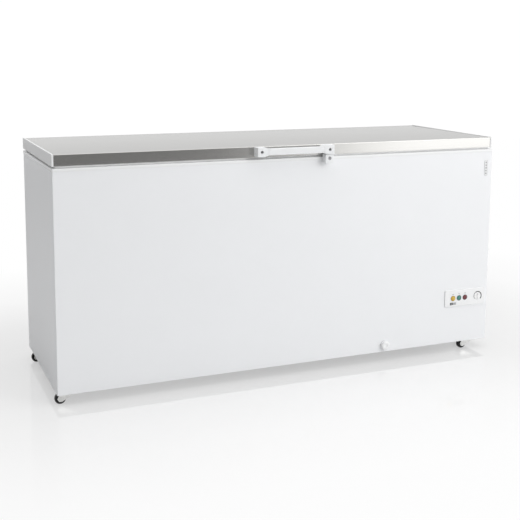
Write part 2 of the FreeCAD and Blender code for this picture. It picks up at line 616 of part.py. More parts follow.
def handle():
    """Two screwed blocks and a bar between them; the lock's keeper hangs from the right block."""
    mid_z = f"({HANDLE_TOP}-block_height/2)"
    outer, width = "handle_length/2", "block_width"
    blocks, screws = [], []
    for side, label in ((-1, "handle_block_left"), (1, "handle_block_right")):
        made = body("HandleBlock")
        s = "-1" if side < 0 else "1"
        half, bar = "block_height/2", "bar_height/2"
        outline = [(f"{s}*{outer}", f"-{half}"), (f"{s}*({outer}-{width}+6)", f"-{half}"),
                   (f"{s}*({outer}-{width}-8)", f"-{bar}"), (f"{s}*({outer}-{width}-8)", bar),
                   (f"{s}*({outer}-{width}+6)", half), (f"{s}*{outer}", half)]
        pad(made, "XZ", "block_depth", outline)
        bind(made, at=(0, LID_FRONT, mid_z))
        middle = f"{s}*({outer}-{width}/2)"
        soften(made, 2, lambda e: along(e, "y") and abs(abs(e.CenterOfMass.x) - size("handle_length") / 2) < 0.1)
        front = -size("block_depth")
        soften(made, 1.5, lambda e: e.BoundBox.YMax < front + 0.01)
        pocket(made, "XZ", "block_depth+1", (middle, "0", "screw_recess"), reverse=True)
        blocks.append((made, label, middle))
        screws.append(turned("HandleScrew", [(0, -12), (4.4, -12), (4.4, -9), (2.5, -8), (2.5, -0.1), (0, -0.1)],
                             (middle, LID_FRONT, mid_z), "y"))
    tongue = box((f"{LOCK_X}+4.5", f"{LOCK_X}+9.5"), (f"-{FACE}-14", f"-{FACE}-1.5"),
                 (f"{HANDLE_TOP}-block_height-1", f"{HANDLE_TOP}-block_height+6"))
    node(blocks[0][0], blocks[0][1])
    node(cut(blocks[1][0], tongue), blocks[1][1])
    reach = f"({outer}-{width}-8)"
    bar = box((f"-{reach}", reach), (HANDLE_FRONT, f"{HANDLE_FRONT}+bar_thick"), (f"{mid_z}-bar_height/2", f"{mid_z}+bar_height/2"))
    bar = rounded(bar, 2, lambda e: along(e, "x"))
    node(bar, "handle_bar")
    return screws


def lock():
    """Key lock under the right handle block: turning the barrel swings its cam through the keeper's window."""
    y_back = f"-{FACE}"
    x0, x1 = f"{LOCK_X}-block_width/2+0.5", f"{LOCK_X}+block_width/2-0.5"
    top = f"({HANDLE_TOP}-block_height-1)"
    case = box((x0, x1), (f"{y_back}-lock_depth", y_back), (f"{top}-lock_height", top))
    front = -size("cab_depth") / 2 - size("lock_depth")
    case = rounded(case, 2, lambda e: along(e, "z") and e.CenterOfMass.y < front + 1)
    notch = box((f"{x0}-1", f"{x1}+1"), (f"{y_back}-2", f"{y_back}+1"), (f"{RIM}-rim_skirt-0.5", f"{RIM}+0.5"))
    cavity = box((f"{LOCK_X}-8", f"{LOCK_X}+14"), (f"{y_back}-14", f"{y_back}-2.5"), (f"{LOCK_Z}-13", f"{top}-2"))
    slot = box((f"{LOCK_X}+4.5", f"{LOCK_X}+9.5"), (f"{y_back}-13.8", f"{y_back}-2.8"), (f"{top}-3", f"{top}+1"))
    bore = rod("y", (LOCK_X, f"{y_back}-lock_depth-1", LOCK_Z), "barrel_radius+0.1", "lock_depth-10")
    node(cut(case, notch, cavity, slot, bore), "lock_housing")
    barrel = turned("Barrel", [(0, 0), ("barrel_radius-0.6", 0), ("barrel_radius", 0.6), ("barrel_radius", 11.8), (0, 11.8)],
                    (LOCK_X, f"{y_back}-lock_depth-0.4", LOCK_Z), "y")
    keyway = box((f"{LOCK_X}-0.8", f"{LOCK_X}+0.8"), (f"{y_back}-lock_depth-2", f"{y_back}-lock_depth+6"),
                 (f"{LOCK_Z}-4", f"{LOCK_Z}+4"))
    node(cut(barrel, keyway), "lock_barrel")
    cam = plate("Cam", "XZ", rectangle(("-2.5", "2.5"), ("-5", "11.5")), 0, "2.4")
    bind(cam, at=(LOCK_X, f"{y_back}-10.2", LOCK_Z))
    neck = rod("y", (LOCK_X, f"{y_back}-lock_depth+11.4", LOCK_Z), 4.5, f"lock_depth-21.6")
    node(fuse(cam, neck), "lock_cam")
    strap = box((f"{LOCK_X}+6", f"{LOCK_X}+8"), (f"{y_back}-13", f"{y_back}-3.6"), (f"{LOCK_Z}-8", f"{HANDLE_TOP}-block_height+5.5"))
    window = box((f"{LOCK_X}+5", f"{LOCK_X}+9"), (f"{y_back}-11", f"{y_back}-6.4"), (f"{LOCK_Z}-4", f"{LOCK_Z}+13.5"))
    node(cut(strap, window), "lock_keeper")


# ---------------------------------------------------------------- hinges

def hinges():
    """Sprung hinges: a cheeked base on the back, a pin, and an arm screwed to the lid's rear flange."""
    bases, pins, springs, lid_screws, cabinet_screws = [], [], [], [], []
    for side, label in ((-1, "left"), (1, "right")):
        x = f"({side}*hinge_place)"
        low = f"({PIN_Z}-hinge_drop)"
        back = box((f"{x}-hinge_half", f"{x}+hinge_half"), (FACE, f"{FACE}+2"), (low, f"{RIM}-rim_skirt-1"))
        pieces = [back]
        for edge in (f"{x}-hinge_half", f"{x}+hinge_half-2.5"):
            cheek = box((edge, f"{edge}+2.5"), (f"{FACE}+2", f"{PIN_Y}+cheek_radius"), (low, PIN_Z))
            eye = rod("x", (edge, PIN_Y, PIN_Z), "cheek_radius", 2.5)
            pieces += [cheek, eye]
        bore = rod("x", (f"{x}-hinge_half-1", PIN_Y, PIN_Z), "pin_radius", "2*hinge_half+2")
        node(cut(fuse(*pieces), bore), f"hinge_base_{label}")

        leaf = box((f"{x}-24", f"{x}+24"), (LID_BACK, f"{LID_BACK}+2.5"), (f"{LID_LOW}+5", f"{LID_TOP}-2"))
        ears = []
        for edge in (f"{x}-24", f"{x}+21"):
            ears += [rod("x", (edge, PIN_Y, PIN_Z), "cheek_radius", 3),
                     box((edge, f"{edge}+3"), (LID_BACK, f"{PIN_Y}+5"), (PIN_Z, f"{LID_LOW}+12"))]
        hole = rod("x", (f"{x}-25", PIN_Y, PIN_Z), "pin_radius+run_gap", 50)
        node(cut(fuse(leaf, *ears), hole), f"hinge_arm_{label}")

        shaft = rod("x", (f"{x}-hinge_half-1.5", PIN_Y, PIN_Z), "pin_radius", "2*hinge_half+3")
        heads = [rod("x", (start, PIN_Y, PIN_Z), 6, 1.5) for start in (f"{x}-hinge_half-1.5", f"{x}+hinge_half")]
        pins.append(fuse(shaft, *heads))

        helix = Part.makeHelix(3.4, 34, 6.2)
        section = Part.Wire(Part.makeCircle(1.2, helix.Vertexes[0].Point, Vector(0, 1, 0)))
        spring = feature(Part.Wire(helix.Edges).makePipeShell([section], True, True), "HingeSpring")
        spring.Placement = Placement(Vector(), TURN_TO["x"])
        springs.append(bind(spring, at=(f"{x}-17", PIN_Y, PIN_Z)))
        for dx in (-14, 14):
            lid_screws.append(screw_head((f"{x}+({dx})", f"{LID_BACK}+2.5", f"{LID_TOP}-14"), "y", 4))
            for dz in (20, 90):
                cabinet_screws.append(screw_head((f"{x}+({dx})", f"{FACE}+2", f"{low}+{dz}"), "y", 4))
    node(group(pins), "hinge_pins")
    node(group(springs), "hinge_springs")
    return lid_screws, cabinet_screws


def screw_head(at, axis, radius):
    """A domed screw head; its shank is hidden in what it holds."""
    made = turned("Screw", [(0, 0), (radius, 0), (radius, 0.9), (radius * 0.7, 2), (0, 2.4)], at)
    made.Placement.Rotation = TURN_TO[axis]
    return made


# ---------------------------------------------------------------- castors

def castors():
    """Four swivel castors: plate with its kingpin, pressed fork with the axle, and the wheel."""
    plates, screws = [], []
    places = {"front_left": (-1, -1), "front_right": (1, -1), "rear_left": (-1, 1), "rear_right": (1, 1)}
    for label, (sx, sy) in places.items():
        x = f"({sx}*({SIDE}-castor_side))"
        y = f"({sy}*({FACE}-{'castor_front' if sy < 0 else 'castor_rear'}))"
        top = box((f"{x}-plate_half", f"{x}+plate_half"), (f"{y}-plate_half", f"{y}+plate_half"), (f"{DECK}-2", DECK))
        top = rounded(top, 5, lambda e: along(e, "z"))
        race = turned("Race", [(0, 0), (17, 0), (17, 1), (12, 4.6), (0, 4.6)], (x, y, "crown_level+2.4"))
        kingpin = rod("z", (x, y, "crown_level-1.6"), 4, 6)
        head = rod("z", (x, y, "crown_level-2.6"), 7, 2)
        holes = [rod("z", (f"{x}+({a})", f"{y}+({b})", f"{DECK}-5"), 2.8, 8) for a in (-21, 21) for b in (-21, 21)]
        plates.append(cut(fuse(top, race, kingpin, head), *holes))
        for a in (-21, 21):
            for b in (-21, 21):
                made = screw_head((f"{x}+({a})", f"{y}+({b})", f"{DECK}-2"), "z", 4.4)
                made.Placement.Rotation = Rotation(Vector(1, 0, 0), 180)
                screws.append(made)

        axle_x = f"{x}-castor_trail"
        outline = [("-castor_trail-12", "wheel_radius"), ("-castor_trail-6", "wheel_radius-10"),
                   ("-castor_trail+4", "wheel_radius-11"), ("19", "crown_level-5"), ("19", "crown_level"),
                   ("-16", "crown_level+2"), ("-28", "crown_level-6.5"), ("-castor_trail-7", "wheel_radius+11")]
        legs = []
        for start in ("-fork_half", "fork_half-fork_sheet"):
            leg = plate("ForkLeg", "XZ", outline, 0, "fork_sheet")
            bind(leg, at=(x, f"{y}+{start}", 0))
            legs.append(leg)
        crown = box((f"{x}-18", f"{x}+19"), (f"{y}-fork_half", f"{y}+fork_half"), ("crown_level", "crown_level+2"))
        disc = rod("z", (x, y, "crown_level"), 17, 2)
        eye = rod("z", (x, y, "crown_level-3"), 4.2, 8)
        axle = rod("y", (axle_x, f"{y}-fork_half-1.5", "wheel_radius"), 3.9, "2*fork_half+3")
        ends = [rod("y", (axle_x, start, "wheel_radius"), 6.5, 1.5)
                for start in (f"{y}-fork_half-1.5", f"{y}+fork_half")]
        node(cut(fuse(*legs, crown, disc, axle, *ends), eye), f"castor_fork_{label}")
        half, radius = "wheel_width/2", "wheel_radius"
        wheel = turned("Wheel", [("4", f"-{half}-1.5"), ("7", f"-{half}-1.5"), ("7", f"-{half}"), (f"{radius}-2", f"-{half}"),
                                 (radius, f"-{half}+2"), (radius, f"{half}-2"), (f"{radius}-2", half), ("7", half),
                                 ("7", f"{half}+1.5"), ("4", f"{half}+1.5")], (axle_x, y, radius), "y")
        node(wheel, f"castor_wheel_{label}")
    node(group(plates), "castor_plates")
    return screws


# ---------------------------------------------------------------- baskets

def basket(side, label):
    """Wire basket that hangs on the rim's ledge: a frame, two sets of bent wires and one hoop."""
    x = f"({side}*basket_place)"
    half, thick = "basket_width/2", "frame_wire"
    reach = f"({FACE}-rim_seat-12)"
    inner = f"({TUB_Y}-rim_reach-8)"
    top = f"({LEDGE}+0.4+{thick})"
    low = f"({top}-basket_depth)"
    rods = []
    for s in (-1, 1):
        rods.append(rod("y", (f"{x}+({s})*{half}", f"-{reach}", top), thick, f"2*{reach}"))
        rods.append(rod("x", (f"{x}-{half}+{thick}", f"({s})*({reach}-{thick})", top), thick, f"basket_width-2*{thick}"))
    side_x = f"({half}-{thick}-wire-0.1)"
    count = 9
    for k in range(count):
        y = f"({k - (count - 1) / 2}*2*({inner}-10)/{count - 1})"
        rods.append(rod("x", (f"{x}-{side_x}+wire", y, low), "wire", f"2*({side_x}-wire)"))
        for s in (-1, 1):
            rods.append(rod("z", (f"{x}+({s})*{side_x}", y, f"{low}-wire"), "wire", f"{top}-({low})+wire"))
    over = f"({low}+2*wire+0.05)"
    count = 5
    for k in range(count):
        across = f"({x}+({k - (count - 1) / 2})*2*({half}-22)/{count - 1})"
        rods.append(rod("y", (across, f"-{inner}+wire", over), "wire", f"2*({inner}-wire)"))
        for s in (-1, 1):
            rods.append(rod("z", (across, f"({s})*{inner}", f"{over}-wire"), "wire", f"{top}+{thick}-({over})"))
    level = f"({low}+basket_depth*0.55)"
    hoop_x, hoop_y = f"({side_x}-2*wire-0.05)", f"({inner}-2*wire-0.05)"
    for s in (-1, 1):
        rods.append(rod("y", (f"{x}+({s})*{hoop_x}", f"-{hoop_y}-wire", level), "wire", f"2*({hoop_y}+wire)"))
        rods.append(rod("x", (f"{x}-{hoop_x}+wire", f"({s})*{hoop_y}", level), "wire", f"2*({hoop_x}-wire)"))
    node(group(rods), label)


def grille_screws():
    x, z = f"{ROOM_X}+6", f"{DECK}+8"
    return [screw_head((f"{x}+{a}", f"{FACE}+2", f"{z}+{b}"), "y", 4) for a in (10, 290) for b in (14, 125, 236)]


def write_parts():
    """Checks every object, then writes one STEP file for each sub-part."""
    doc.recompute()
    bad = [f"{o.Label}: {o.State}" for o in doc.Objects if {"Invalid", "Error"} & set(o.State)]
    if bad:
        raise RuntimeError("failed objects: " + "; ".join(bad))
    os.makedirs("parts", exist_ok=True)
    for old in os.listdir("parts"):
        if old.endswith(".step"):
            os.remove(os.path.join("parts", old))
    wrong = [n for n, t in NODES.items() if t.Shape.isNull() or not t.Shape.isValid() or not t.Shape.Solids]
    if wrong:
        raise RuntimeError("not a valid solid: " + ", ".join(wrong))
    for label, thing in NODES.items():
        thing.Shape.exportStep(f"parts/{label}.step")
    print(len(NODES), "sub-parts written")


outer_shell()
foam_and_liner()
rim_trim()
base_and_room()
compressor_grille()
compressor()
controls()
badge()
drain()
lid()
lid_screws = handle()
lock()
hinge_lid_screws, hinge_cabinet_screws = hinges()
castor_screws = castors()
basket(-1, "basket_left")
basket(1, "basket_right")
node(group(lid_screws + hinge_lid_screws), "lid_screws")
node(group(hinge_cabinet_screws + castor_screws + grille_screws()), "cabinet_screws")
write_parts()
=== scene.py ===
import json
import math
import bmesh
import bpy
from mathutils import Matrix, Vector


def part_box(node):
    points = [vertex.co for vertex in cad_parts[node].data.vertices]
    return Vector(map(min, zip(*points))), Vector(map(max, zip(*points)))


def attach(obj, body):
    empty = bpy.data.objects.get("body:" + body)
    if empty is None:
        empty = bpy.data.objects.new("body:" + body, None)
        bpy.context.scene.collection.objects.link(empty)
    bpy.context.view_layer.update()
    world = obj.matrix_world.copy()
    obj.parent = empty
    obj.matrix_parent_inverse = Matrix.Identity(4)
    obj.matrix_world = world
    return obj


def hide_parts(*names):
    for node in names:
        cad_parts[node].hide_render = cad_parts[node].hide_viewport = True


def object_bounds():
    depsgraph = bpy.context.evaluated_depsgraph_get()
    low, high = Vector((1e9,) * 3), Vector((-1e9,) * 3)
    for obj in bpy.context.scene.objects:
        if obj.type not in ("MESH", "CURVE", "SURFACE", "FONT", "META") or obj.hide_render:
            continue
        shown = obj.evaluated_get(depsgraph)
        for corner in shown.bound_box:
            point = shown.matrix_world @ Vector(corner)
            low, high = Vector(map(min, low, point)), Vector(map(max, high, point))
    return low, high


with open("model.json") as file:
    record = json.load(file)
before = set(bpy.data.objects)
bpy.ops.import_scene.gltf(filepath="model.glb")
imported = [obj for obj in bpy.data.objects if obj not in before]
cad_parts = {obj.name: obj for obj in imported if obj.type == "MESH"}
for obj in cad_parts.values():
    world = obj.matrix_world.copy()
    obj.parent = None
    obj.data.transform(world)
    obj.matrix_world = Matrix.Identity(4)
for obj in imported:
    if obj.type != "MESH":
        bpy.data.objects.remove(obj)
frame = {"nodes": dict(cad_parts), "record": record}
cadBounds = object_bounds()
cadNodes = frame["nodes"]


def middle(node):
    low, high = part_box(node)
    return (Vector(low) + Vector(high)) / 2


# ---- camera, light and floor

studio = {
    "cameraPlace": (-1.484, -3.5095, 1.2714), "turn": 22.789, "dip": 8.069, "roll": 0.317,
    "lens": 65.783, "rise": -0.16, "clip": (0.05, 60.0),
    "overhead": 0.60, "overheadFrom": (0.35, 0.8), "mirrored": 0.80, "backdrop": 1.02,
    "horizon": [(0.0, 0.92), (0.06, 0.75), (0.12, 0.25), (0.38, 0.06), (0.47, 0.20), (0.56, 0.27), (0.586, 2.0),
                (0.66, 1.8), (0.76, 0.8), (0.88, 0.92), (1.0, 0.92)],
    "floorSize": 14.0, "floorFront": 0.72, "floorTone": 0.84, "floorLift": 0.60, "floorGloss": 0.035, "floorIor": 1.62,
    "mirrorFade": (0.12, 0.85), "whiteFade": (0.35, 1.5),
}
# name: (place, target, size, power)
lamps = {
    "keyLight": ((2.6, -3.6, 2.6), (0.0, -0.2, 0.4), (2.4, 2.0), 54.0),
    "topLight": ((0.0, -0.4, 3.4), (0.0, 0.0, 0.0), (5.0, 3.0), 56.0),
}


def makeCamera():
    data = bpy.data.cameras.new("studioCamera")
    data.lens, data.sensor_width, data.shift_y = studio["lens"], 36.0, studio["rise"]
    data.clip_start, data.clip_end = studio["clip"]
    camera = bpy.data.objects.new("studioCamera", data)
    yaw, dip = math.radians(studio["turn"]), math.radians(studio["dip"])
    forward = Vector((math.sin(yaw) * math.cos(dip), math.cos(yaw) * math.cos(dip), -math.sin(dip)))
    camera.location = studio["cameraPlace"]
    camera.rotation_mode = "QUATERNION"
    aim = forward.to_track_quat("-Z", "Y").to_matrix().to_4x4()
    camera.rotation_quaternion = (aim @ Matrix.Rotation(math.radians(studio["roll"]), 4, "Z")).to_quaternion()
    bpy.context.collection.objects.link(camera)
    bpy.context.scene.camera = camera


def makeLight(name, place, target, size, power):
    data = bpy.data.lights.new(name, "AREA")
    data.shape, data.size, data.size_y = "RECTANGLE", size[0], size[1]
    data.energy = power
    light = bpy.data.objects.new(name, data)
    light.location = place
    light.rotation_mode = "QUATERNION"
    light.rotation_quaternion = (Vector(target) - Vector(place)).to_track_quat("-Z", "Y")
    bpy.context.collection.objects.link(light)


def makeWorld():
    # Bright and dark bands round the horizon light the pieces; the camera itself sees plain white.
    world = bpy.data.worlds.new("studioRoom")
    bpy.context.scene.world = world
    world.use_nodes = True
    tree = world.node_tree
    tree.nodes.clear()
    ray = addNode(tree, "ShaderNodeSeparateXYZ", Vector=addNode(tree, "ShaderNodeTexCoord")["Generated"])
    angle = mathNode(tree, "ARCTAN2", ray["X"], mathNode(tree, "MULTIPLY", ray["Y"], -1.0))
    ramp = tree.nodes.new("ShaderNodeValToRGB")
    setRamp(ramp, studio["horizon"])
    tree.links.new(mathNode(tree, "MULTIPLY_ADD", angle, 1 / math.tau, 0.5), ramp.inputs[0])
    upward = rangeNode(tree, ray["Z"], *studio["overheadFrom"], 0.0, 1.0)
    soft = mixColors(tree, upward, ramp.outputs["Color"], (studio["overhead"],) * 3)
    seen = addNode(tree, "ShaderNodeLightPath")
    calm = mathNode(tree, "MULTIPLY", rangeNode(tree, ray["Z"], 0.0, 0.06, 0.0, 1.0), seen["Is Glossy Ray"])
    room = addNode(tree, "ShaderNodeBackground", Color=mixColors(tree, calm, soft, (studio["mirrored"],) * 3))[0]
    backdrop = addNode(tree, "ShaderNodeBackground", Color=(1, 1, 1, 1), Strength=studio["backdrop"])[0]
    addNode(tree, "ShaderNodeOutputWorld", Surface=mixShaders(tree, seen["Is Camera Ray"], room, backdrop))


def makeFloor():
    # White glossy floor: it mirrors the cabinet's foot softly and fades into the white room around it.
    half = studio["floorSize"] / 2
    front = -half * studio["floorFront"]
    mesh = bpy.data.meshes.new("studioFloor")
    mesh.from_pydata([(-half, front, 0), (half, front, 0), (half, half, 0), (-half, half, 0)], [], [(0, 1, 2, 3)])
    floor = bpy.data.objects.new("studioFloor", mesh)
    bpy.context.collection.objects.link(floor)
    material = bpy.data.materials.new("floorGloss")
    material.use_nodes = True
    tree = material.node_tree
    tree.nodes.clear()
    place = addNode(tree, "ShaderNodeSeparateXYZ", Vector=addNode(tree, "ShaderNodeTexCoord")["Object"])
    high = cadBounds[1]
    squares = []
    for axis, reach in (("X", high[0]), ("Y", high[1] - 0.03)):
        away = mathNode(tree, "SUBTRACT", mathNode(tree, "ABSOLUTE", place[axis]), reach)
        squares.append(mathNode(tree, "POWER", mathNode(tree, "MAXIMUM", away, 0.0), 2.0))
    distance = mathNode(tree, "SQRT", mathNode(tree, "ADD", *squares))
    matt = addNode(tree, "ShaderNodeBsdfDiffuse", Color=(*(studio["floorTone"],) * 3, 1))[0]
    white = addNode(tree, "ShaderNodeEmission", Color=(1, 1, 1, 1))[0]
    lift = rangeNode(tree, distance, *studio["whiteFade"], studio["floorLift"], 1.0)
    toCamera = mathNode(tree, "MULTIPLY", lift, addNode(tree, "ShaderNodeLightPath")["Is Camera Ray"])
    ground = mixShaders(tree, toCamera, matt, white)
    mirror = addNode(tree, "ShaderNodeBsdfGlossy", Roughness=studio["floorGloss"])[0]
    fade = rangeNode(tree, distance, *studio["mirrorFade"], 1.0, 0.0)
    fresnel = addNode(tree, "ShaderNodeFresnel", IOR=studio["floorIor"])[0]
    surface = mixShaders(tree, mathNode(tree, "MULTIPLY", fresnel, fade), ground, mirror)
    below = addNode(tree, "ShaderNodeNewGeometry")["Backfacing"]
    sided = mixShaders(tree, below, surface, addNode(tree, "ShaderNodeBsdfTransparent")[0])
    addNode(tree, "ShaderNodeOutputMaterial", Surface=sided)
    mesh.materials.append(material)


# ---- shader helpers

class Finish:
    # A material with its tree, its one Principled shader and Object coordinates at hand.
    def __init__(self, name, color, roughness, metallic=0.0):
        self.material = bpy.data.materials.new(name)
        self.material.use_nodes = True
        self.tree = self.material.node_tree
        self.shader = self.tree.nodes["Principled BSDF"]
        self.shader.inputs["Base Color"].default_value = (*color, 1)
        self.shader.inputs["Roughness"].default_value = roughness
        self.shader.inputs["Metallic"].default_value = metallic
        self.material.diffuse_color = (*color, 1)
        self.place = self.tree.nodes.new("ShaderNodeTexCoord").outputs["Object"]

    def link(self, source, target):
        self.tree.links.new(source, self.shader.inputs[target] if isinstance(target, str) else target)

    def spread(self, scale, centre=(0, 0, 0)):
        offset = [-c * s for c, s in zip(centre, scale)]
        return addNode(self.tree, "ShaderNodeMapping", Vector=self.place, Scale=scale, Location=offset)[0]

    def group(self, name, **values):
        made = self.tree.nodes.new("ShaderNodeGroup")
        made.node_tree = bpy.data.node_groups[name]
        for label, value in values.items():
            feed(self.tree, made.inputs[label], value)
        return made.outputs

    def bump(self, height, depth, strength=1.0):
        self.link(addNode(self.tree, "ShaderNodeBump", Strength=strength, Distance=depth, Height=height)[0], "Normal")

    def keep(self):
        finishes[self.material.name] = self.material


def feed(tree, socket, value):
    # Links another node's output to a socket, or sets the socket to a plain value.
    if hasattr(value, "is_output"):
        tree.links.new(value, socket)
    else:
        socket.default_value = value


def addNode(tree, kind, settings=None, **values):
    # Adds a node and feeds its sockets. The labels i0, i1, i2 name a socket by its place.
    made = tree.nodes.new(kind)
    for key, value in (settings or {}).items():
        setattr(made, key, value)
    for label, value in values.items():
        byPlace = label[0] == "i" and label[1:].isdigit()
        feed(tree, made.inputs[int(label[1:]) if byPlace else label.replace("_", " ")], value)
    return made.outputs


def mathNode(tree, operation, *values):
    made = tree.nodes.new("ShaderNodeMath")
    made.operation = operation
    for socket, value in zip(made.inputs, values):
        feed(tree, socket, value)
    return made.outputs[0]


def mixShaders(tree, factor, first, second):
    return addNode(tree, "ShaderNodeMixShader", i0=factor, i1=first, i2=second)[0]


def setRamp(ramp, stops):
    elements = ramp.color_ramp.elements
    while len(elements) > 1:
        elements.remove(elements[-1])
    for count, (spot, level) in enumerate(stops):
        element = elements[0] if count == 0 else elements.new(spot)
        element.position = spot
        element.color = (level, level, level, 1)


def newGroup(name, numbers, outputs):
    # A shader group with a Vector input, number inputs and number outputs.
    tree = bpy.data.node_groups.new(name, "ShaderNodeTree")
    tree.interface.new_socket(name="Vector", in_out="INPUT", socket_type="NodeSocketVector")
    for label, value in numbers.items():
        tree.interface.new_socket(name=label, in_out="INPUT", socket_type="NodeSocketFloat").default_value = value
    for label in outputs:
        tree.interface.new_socket(name=label, in_out="OUTPUT", socket_type="NodeSocketFloat")
    return tree, tree.nodes.new("NodeGroupInput").outputs, tree.nodes.new("NodeGroupOutput").inputs


def noiseNode(tree, vector, scale, detail, roughness):
    return addNode(tree, "ShaderNodeTexNoise", Vector=vector, Scale=scale, Detail=detail, Roughness=roughness)["Fac"]


def rangeNode(tree, value, low, high, first, last):
    return addNode(tree, "ShaderNodeMapRange", Value=value, From_Min=low, From_Max=high, To_Min=first, To_Max=last)[0]


def mixColors(tree, factor, first, second):
    parts = [(*value, 1) if isinstance(value, tuple) else value for value in (first, second)]
    return addNode(tree, "ShaderNodeMix", {"data_type": "RGBA"}, i0=factor, i6=parts[0], i7=parts[1])[2]


def makeGroups():
    # Fine lines left by a polishing belt. Tone and Height change across the grain, hardly along it.
    tree, given, out = newGroup("brushLines", {"Density": 900.0, "Contrast": 0.1}, ("Tone", "Height", "Rough"))
    lines = noiseNode(tree, given["Vector"], given["Density"], 3.0, 0.7)
    soft = noiseNode(tree, given["Vector"], 60.0, 2.0, 0.5)
    centred = mathNode(tree, "SUBTRACT", mathNode(tree, "MULTIPLY_ADD", soft, 0.4, lines), 0.7)
    tree.links.new(mathNode(tree, "MULTIPLY_ADD", centred, given["Contrast"], 1.0), out["Tone"])
    tree.links.new(lines, out["Height"])
    tree.links.new(mathNode(tree, "MULTIPLY_ADD", centred, 0.25, 0.5), out["Rough"])

    # Spark-eroded texture of a moulding tool, with a slow change of tone over the piece.
    tree, given, out = newGroup("mouldGrain", {"Fineness": 2400.0, "Drift": 0.03}, ("Tone", "Height", "Rough"))
    slow = noiseNode(tree, given["Vector"], 7.0, 3.0, 0.55)
    fine = noiseNode(tree, given["Vector"], given["Fineness"], 2.0, 0.6)
    centred = mathNode(tree, "SUBTRACT", slow, 0.5)
    tree.links.new(mathNode(tree, "MULTIPLY_ADD", centred, given["Drift"], 1.0), out["Tone"])
    tree.links.new(fine, out["Height"])
    tree.links.new(mathNode(tree, "MULTIPLY_ADD", slow, 0.16, 0.42), out["Rough"])

    # A little dust, most of it on what faces up.
    tree, given, out = newGroup("settledDust", {"Amount": 0.2}, ("Mask",))
    normal = addNode(tree, "ShaderNodeNewGeometry")["Normal"]
    height = addNode(tree, "ShaderNodeSeparateXYZ", Vector=normal)["Z"]
    upward = rangeNode(tree, height, 0.2, 0.95, 0.25, 1.0)
    patches = rangeNode(tree, noiseNode(tree, given["Vector"], 34.0, 5.0, 0.65), 0.45, 0.75, 0.0, 1.0)
    spread = mathNode(tree, "MULTIPLY", upward, patches)
    tree.links.new(mathNode(tree, "MULTIPLY", spread, given["Amount"]), out["Mask"])


# ---- finishes

finishes = {}


def toned(finish, color, tone):
    return addNode(finish.tree, "ShaderNodeVectorMath", {"operation": "SCALE"}, i0=color, Scale=tone)[0]


def coatFinish(name, color, roughness, fineness, depth, drift, dust, dustTone, smoother, rougher):
    finish = Finish(name, color, roughness)
    grain = finish.group("mouldGrain", Vector=finish.place, Fineness=fineness, Drift=drift)
    dusty = finish.group("settledDust", Vector=finish.place, Amount=dust)
    finish.link(mixColors(finish.tree, dusty["Mask"], toned(finish, color, grain["Tone"]), dustTone), "Base Color")
    rough = rangeNode(finish.tree, grain["Rough"], 0.42, 0.58, roughness - smoother, roughness + rougher)
    finish.link(rough, "Roughness")
    finish.bump(grain["Height"], depth)
    finish.keep()


def plasticFinish(name, color, roughness, fineness, depth, drift, dust=0.05):
    coatFinish(name, color, roughness, fineness, depth, drift, dust, (0.42, 0.40, 0.37), 0.05, 0.06)


def enamelFinish(name, color, roughness, ripple, drift):
    # Stoved paint: a slow tone drift and the faint ripple of sprayed enamel.
    coatFinish(name, color, roughness, 260.0, ripple, drift, 0.04, (0.5, 0.49, 0.47), 0.04, 0.05)


def metalFinish(name, color, roughness, stretch, density, contrast, depth, wear=0.0):
    finish = Finish(name, color, roughness, 1.0)
    lines = finish.group("brushLines", Vector=finish.spread(stretch), Density=density, Contrast=contrast)
    base = toned(finish, color, lines["Tone"])
    if wear:
        dusty = finish.group("settledDust", Vector=finish.place, Amount=wear)
        base = mixColors(finish.tree, dusty["Mask"], base, (0.22, 0.21, 0.20))
    finish.link(base, "Base Color")
    finish.link(rangeNode(finish.tree, lines["Rough"], 0.35, 0.65, roughness - 0.06, roughness + 0.07), "Roughness")
    finish.bump(lines["Height"], depth)
    finish.keep()


def zincFinish(name, color, roughness, size):
    # Crystals of hot-dip zinc, each with its own tone.
    finish = Finish(name, color, roughness, 1.0)
    tree = finish.tree
    cells = addNode(tree, "ShaderNodeTexVoronoi", Scale=1 / size, Vector=finish.place)["Color"]
    split = addNode(tree, "ShaderNodeSeparateColor", i0=cells)
    cloud = noiseNode(tree, finish.place, 18.0, 4.0, 0.6)
    tone = mathNode(tree, "MULTIPLY_ADD", cloud, 0.18, mathNode(tree, "MULTIPLY_ADD", split[0], 0.22, 0.8))
    finish.link(toned(finish, color, tone), "Base Color")
    finish.link(rangeNode(tree, split[1], 0.0, 1.0, roughness - 0.1, roughness + 0.12), "Roughness")
    finish.bump(cloud, 0.00003)
    finish.keep()


def tubFinish(name, color, roughness):
    # White-coated sheet with a shallow rolled-in leather pattern.
    finish = Finish(name, color, roughness)
    grain = finish.group("mouldGrain", Vector=finish.place, Fineness=300.0, Drift=0.03)
    finish.link(toned(finish, color, grain["Tone"]), "Base Color")
    finish.link(rangeNode(finish.tree, grain["Rough"], 0.42, 0.58, 0.30, 0.42), "Roughness")
    finish.bump(noiseNode(finish.tree, finish.place, 240.0, 1.0, 0.4), 0.0003, 0.5)
    finish.keep()


def lensFinish(name, color, node):
    # Tinted lens with moulded rings under the surface.
    finish = Finish(name, color, 0.16)
    tree = finish.tree
    rings = addNode(tree, "ShaderNodeTexWave", {"wave_type": "RINGS", "rings_direction": "Y"}, Scale=95.0,
                    Distortion=0.4, Vector=finish.spread((1, 1, 1), middle(node)))["Fac"]
    glow = noiseNode(tree, finish.place, 90.0, 2.0, 0.5)
    tone = mathNode(tree, "MULTIPLY_ADD", glow, 0.12, mathNode(tree, "MULTIPLY_ADD", rings, 0.25, 0.82))
    finish.link(toned(finish, color, tone), "Base Color")
    finish.shader.inputs["Coat Weight"].default_value = 0.6
    finish.shader.inputs["Coat Roughness"].default_value = 0.08
    finish.bump(rings, 0.00015, 0.6)
    finish.keep()


